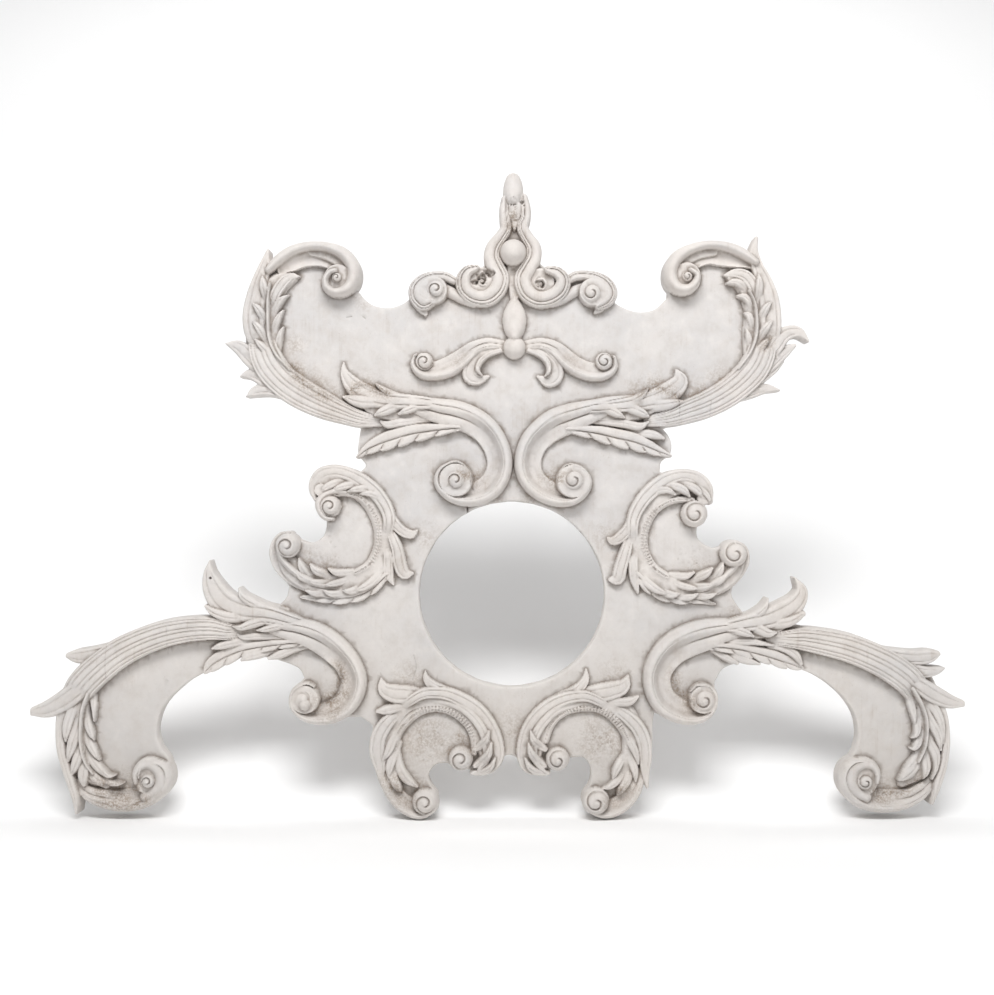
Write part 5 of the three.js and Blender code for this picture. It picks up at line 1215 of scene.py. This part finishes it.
def painted_wood():
    """Matt worn off-white paint over carved wood, with grime and painted shade in the hollows."""
    material = bpy.data.materials.new("painted_wood")
    material.use_nodes = True
    tree = material.node_tree
    nodes, links = tree.nodes, tree.links
    shader = nodes["Principled BSDF"]
    where = nodes.new("ShaderNodeTexCoord").outputs["Object"]

    def guide(name):
        node = nodes.new("ShaderNodeAttribute")
        node.attribute_name = name
        return node.outputs["Fac"]

    def noise(scale, detail, stretch=(1, 1, 1), roughness=0.55):
        mapping = nodes.new("ShaderNodeMapping")
        mapping.inputs["Scale"].default_value = stretch
        links.new(where, mapping.inputs["Vector"])
        node = nodes.new("ShaderNodeTexNoise")
        node.inputs["Scale"].default_value = scale
        node.inputs["Detail"].default_value = detail
        node.inputs["Roughness"].default_value = roughness
        links.new(mapping.outputs["Vector"], node.inputs["Vector"])
        return node.outputs["Fac"]

    def ramp(source, low, high, to_low=0.0, to_high=1.0):
        node = nodes.new("ShaderNodeMapRange")
        node.inputs["From Min"].default_value = low
        node.inputs["From Max"].default_value = high
        node.inputs["To Min"].default_value = to_low
        node.inputs["To Max"].default_value = to_high
        links.new(source, node.inputs["Value"])
        return node.outputs["Result"]

    def put(value, socket):
        if isinstance(value, (int, float)):
            socket.default_value = value
        elif isinstance(value, tuple):
            socket.default_value = (*value, 1)
        else:
            links.new(value, socket)

    def maths(operation, first, second):
        node = nodes.new("ShaderNodeMath")
        node.operation = operation
        node.use_clamp = operation in ("ADD", "SUBTRACT", "MULTIPLY")
        put(first, node.inputs[0])
        put(second, node.inputs[1])
        return node.outputs["Value"]

    def mix(amount, first, second):
        node = nodes.new("ShaderNodeMix")
        node.data_type = "RGBA"
        put(amount, node.inputs[0])
        put(first, node.inputs[6])
        put(second, node.inputs[7])
        return node.outputs[2]

    def coat(under, paint, strength, first, second):
        """Paint over what is under it, where both masks show."""
        mask = maths("MULTIPLY", first, second)
        return mix(maths("MULTIPLY", mask, strength), under, paint)

    carved = guide("carved")
    blotches = noise(5.5, 6, roughness=0.62)
    stains = noise(16, 6, roughness=0.68)
    small = noise(70, 6, roughness=0.65)
    specks = noise(330, 3, roughness=0.65)
    mottle = noise(34, 5, roughness=0.7)
    grain = noise(3, 6, (55, 20, 3), 0.6)

    # The paint itself, blotched and stained, and darker towards the foot
    colour = mix(carved, GROUND_PAINT, CARVED_PAINT)
    for pattern, low, high, strength, paint in (
        (blotches, 0.42, 0.66, 0.75, COOL_PAINT),
        (stains, 0.54, 0.74, 0.6, WARM_PAINT),
        (small, 0.5, 0.75, 0.3, WARM_PAINT),
        (mottle, 0.5, 0.68, 0.32, STAINED),
        (mottle, 0.46, 0.3, 0.3, PALE_PAINT_AND_HIGHLIGHT),
    ):
        colour = mix(ramp(pattern, low, high, 0, strength), colour, paint)
    height = nodes.new("ShaderNodeSeparateXYZ")
    links.new(where, height.inputs[0])
    low_down = ramp(height.outputs["Z"], -0.15, -0.6, 0, 0.42)
    colour = mix(maths("MULTIPLY", low_down, ramp(carved, 0, 1, 1, 0.55)), colour, LOW_PAINT)

    # Where it is worn: streaks along the grain and specks; the crests paler, rubbed and with a painted
    # highlight
    colour = coat(colour, BARE_WOOD, 0.2, ramp(grain, 0.53, 0.68), ramp(stains, 0.46, 0.64))
    colour = coat(colour, BARE_WOOD, 0.45, ramp(specks, 0.66, 0.73), ramp(stains, 0.4, 0.56))
    colour = coat(colour, PALE_PAINT_AND_HIGHLIGHT, 0.5, guide("crest"), ramp(small, 0.35, 0.6, 0.3, 1))

    # What lies on it: dust and grime with painted shade in pockets and hollows, settled dirt, and painted
    # shade with some dirt in cracks, creases and nail holes
    colour = coat(colour, DUST_AND_SHADE, 0.16, guide("pocket"), ramp(stains, 0.4, 0.62, 0.3, 1))
    colour = coat(colour, GRIME_AND_SHADE, 0.7, guide("hollow"), ramp(small, 0.3, 0.6, 0.45, 1))
    colour = mix(maths("MULTIPLY", guide("dirt"), 0.25), colour, WARM_PAINT)
    grit = maths("MULTIPLY", ramp(specks, 0.42, 0.56), ramp(small, 0.36, 0.56, 0.25, 1))
    colour = coat(colour, SETTLED, 0.8, guide("dirt"), grit)
    colour = coat(colour, CRACK_SHADE_AND_DIRT, 0.78, guide("dark_marks_and_shade"), ramp(small, 0.35, 0.6, 0.6, 1))
    links.new(colour, shader.inputs["Base Color"])
    links.new(ramp(small, 0.3, 0.7, 0.62, 0.86), shader.inputs["Roughness"])
    shader.inputs["Specular IOR Level"].default_value = 0.28

    fine = maths("ADD", maths("MULTIPLY", small, 0.55), maths("MULTIPLY", stains, 0.45))
    bump = nodes.new("ShaderNodeBump")
    bump.inputs["Strength"].default_value = 0.35
    bump.inputs["Distance"].default_value = 0.0012
    links.new(fine, bump.inputs["Height"])
    links.new(bump.outputs["Normal"], shader.inputs["Normal"])
    return material


thinned.materials.clear()
thinned.materials.append(painted_wood())
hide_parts("headpiece")
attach(headpiece, "root")

# Stage: a pale floor and a backdrop that leans back from just behind the piece, in metres
low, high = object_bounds()
FLOOR_GAP = 0.0015
FLOOR_FRONT = -6.0
BACKDROP_FOOT = -0.03
BACKDROP_LEAN = math.radians(45)
BACKDROP_LENGTH = 5.5
BEND_RADIUS = 0.14
BEND_STEPS = 12
STAGE_HALF_WIDTH = 6.0
PAPER_WHITE = 0.955


def stage():
    floor = low.z - FLOOR_GAP
    outline = [(FLOOR_FRONT, floor)]
    for step in range(BEND_STEPS + 1):
        turn = step / BEND_STEPS * BACKDROP_LEAN
        outline.append((BACKDROP_FOOT + BEND_RADIUS * math.sin(turn),
                        floor + BEND_RADIUS * (1 - math.cos(turn))))
    y, z = outline[-1]
    outline.append((y + BACKDROP_LENGTH * math.cos(BACKDROP_LEAN),
                    z + BACKDROP_LENGTH * math.sin(BACKDROP_LEAN)))
    vertices = [(side, y, z) for y, z in outline for side in (-STAGE_HALF_WIDTH, STAGE_HALF_WIDTH)]
    faces = [(left, left + 1, left + 3, left + 2) for left in range(0, 2 * len(outline) - 2, 2)]
    stage_mesh = bpy.data.meshes.new("stage")
    stage_mesh.from_pydata(vertices, [], faces)
    stage_mesh.polygons.foreach_set("use_smooth", [True] * len(faces))
    stand = bpy.data.objects.new("stage", stage_mesh)
    bpy.context.scene.collection.objects.link(stand)
    stage_mesh.materials.append(stage_paper())
    stand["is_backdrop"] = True


def stage_paper():
    """White paper that shows only its front, so the piece can be seen from behind."""
    paper = bpy.data.materials.new("stage_paper")
    paper.use_nodes = True
    nodes, links = paper.node_tree.nodes, paper.node_tree.links
    shader = nodes["Principled BSDF"]
    shader.inputs["Base Color"].default_value = (PAPER_WHITE, PAPER_WHITE, PAPER_WHITE, 1)
    shader.inputs["Roughness"].default_value = 0.95
    shader.inputs["Specular IOR Level"].default_value = 0.1
    either = nodes.new("ShaderNodeMixShader")
    links.new(nodes.new("ShaderNodeNewGeometry").outputs["Backfacing"], either.inputs[0])
    links.new(shader.outputs["BSDF"], either.inputs[1])
    links.new(nodes.new("ShaderNodeBsdfTransparent").outputs["BSDF"], either.inputs[2])
    links.new(either.outputs["Shader"], nodes["Material Output"].inputs["Surface"])
    return paper


def softbox(name, place, aim, size, power):
    """A soft rectangular light: its place, aim and size in metres, and its power in watts."""
    light = bpy.data.lights.new(name, "AREA")
    light.shape = "RECTANGLE"
    light.size, light.size_y = size
    light.energy = power
    holder = bpy.data.objects.new(name, light)
    holder.location = place
    holder.rotation_mode = "QUATERNION"
    holder.rotation_quaternion = (Vector(aim) - Vector(place)).to_track_quat("-Z", "Y")
    bpy.context.scene.collection.objects.link(holder)


stage()
softbox("key", (-0.15, -2.4, 2.3), (0, 0, -0.1), (2.2, 1.0), 93)
softbox("backdrop_light", (0, 1.0, 2.2), (0, 1.3, 0.6), (3.0, 0.4), 12)
softbox("fill", (1.9, -2.6, 0.6), (0, 0, -0.1), (1.6, 1.6), 6)
world = bpy.data.worlds.new("room")
world.use_nodes = True
world.node_tree.nodes["Background"].inputs["Color"].default_value = (1, 1, 1, 1)
world.node_tree.nodes["Background"].inputs["Strength"].default_value = 0.42
bpy.context.scene.world = world
bpy.context.scene.view_settings.view_transform = "Standard"

# Camera: level, square to the face, with the photograph's frame of 994 by 995 around its middle
IMAGE_HEIGHT = 995
PIXEL = 0.0016
FRAME_MIDDLE_X = -0.024
FRAME_MIDDLE_Z = -0.116
RELIEF_PLANE = -0.045
DISTANCE = 2.6
SENSOR_WIDTH = 36
camera_data = bpy.data.cameras.new("camera")
camera_data.sensor_width = SENSOR_WIDTH
camera_data.lens = SENSOR_WIDTH * DISTANCE / (IMAGE_HEIGHT * PIXEL)
camera = bpy.data.objects.new("camera", camera_data)
camera.location = (FRAME_MIDDLE_X, RELIEF_PLANE - DISTANCE, FRAME_MIDDLE_Z)
camera.rotation_euler = (math.pi / 2, 0, 0)
bpy.context.scene.collection.objects.link(camera)
bpy.context.scene.camera = camera

low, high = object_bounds()
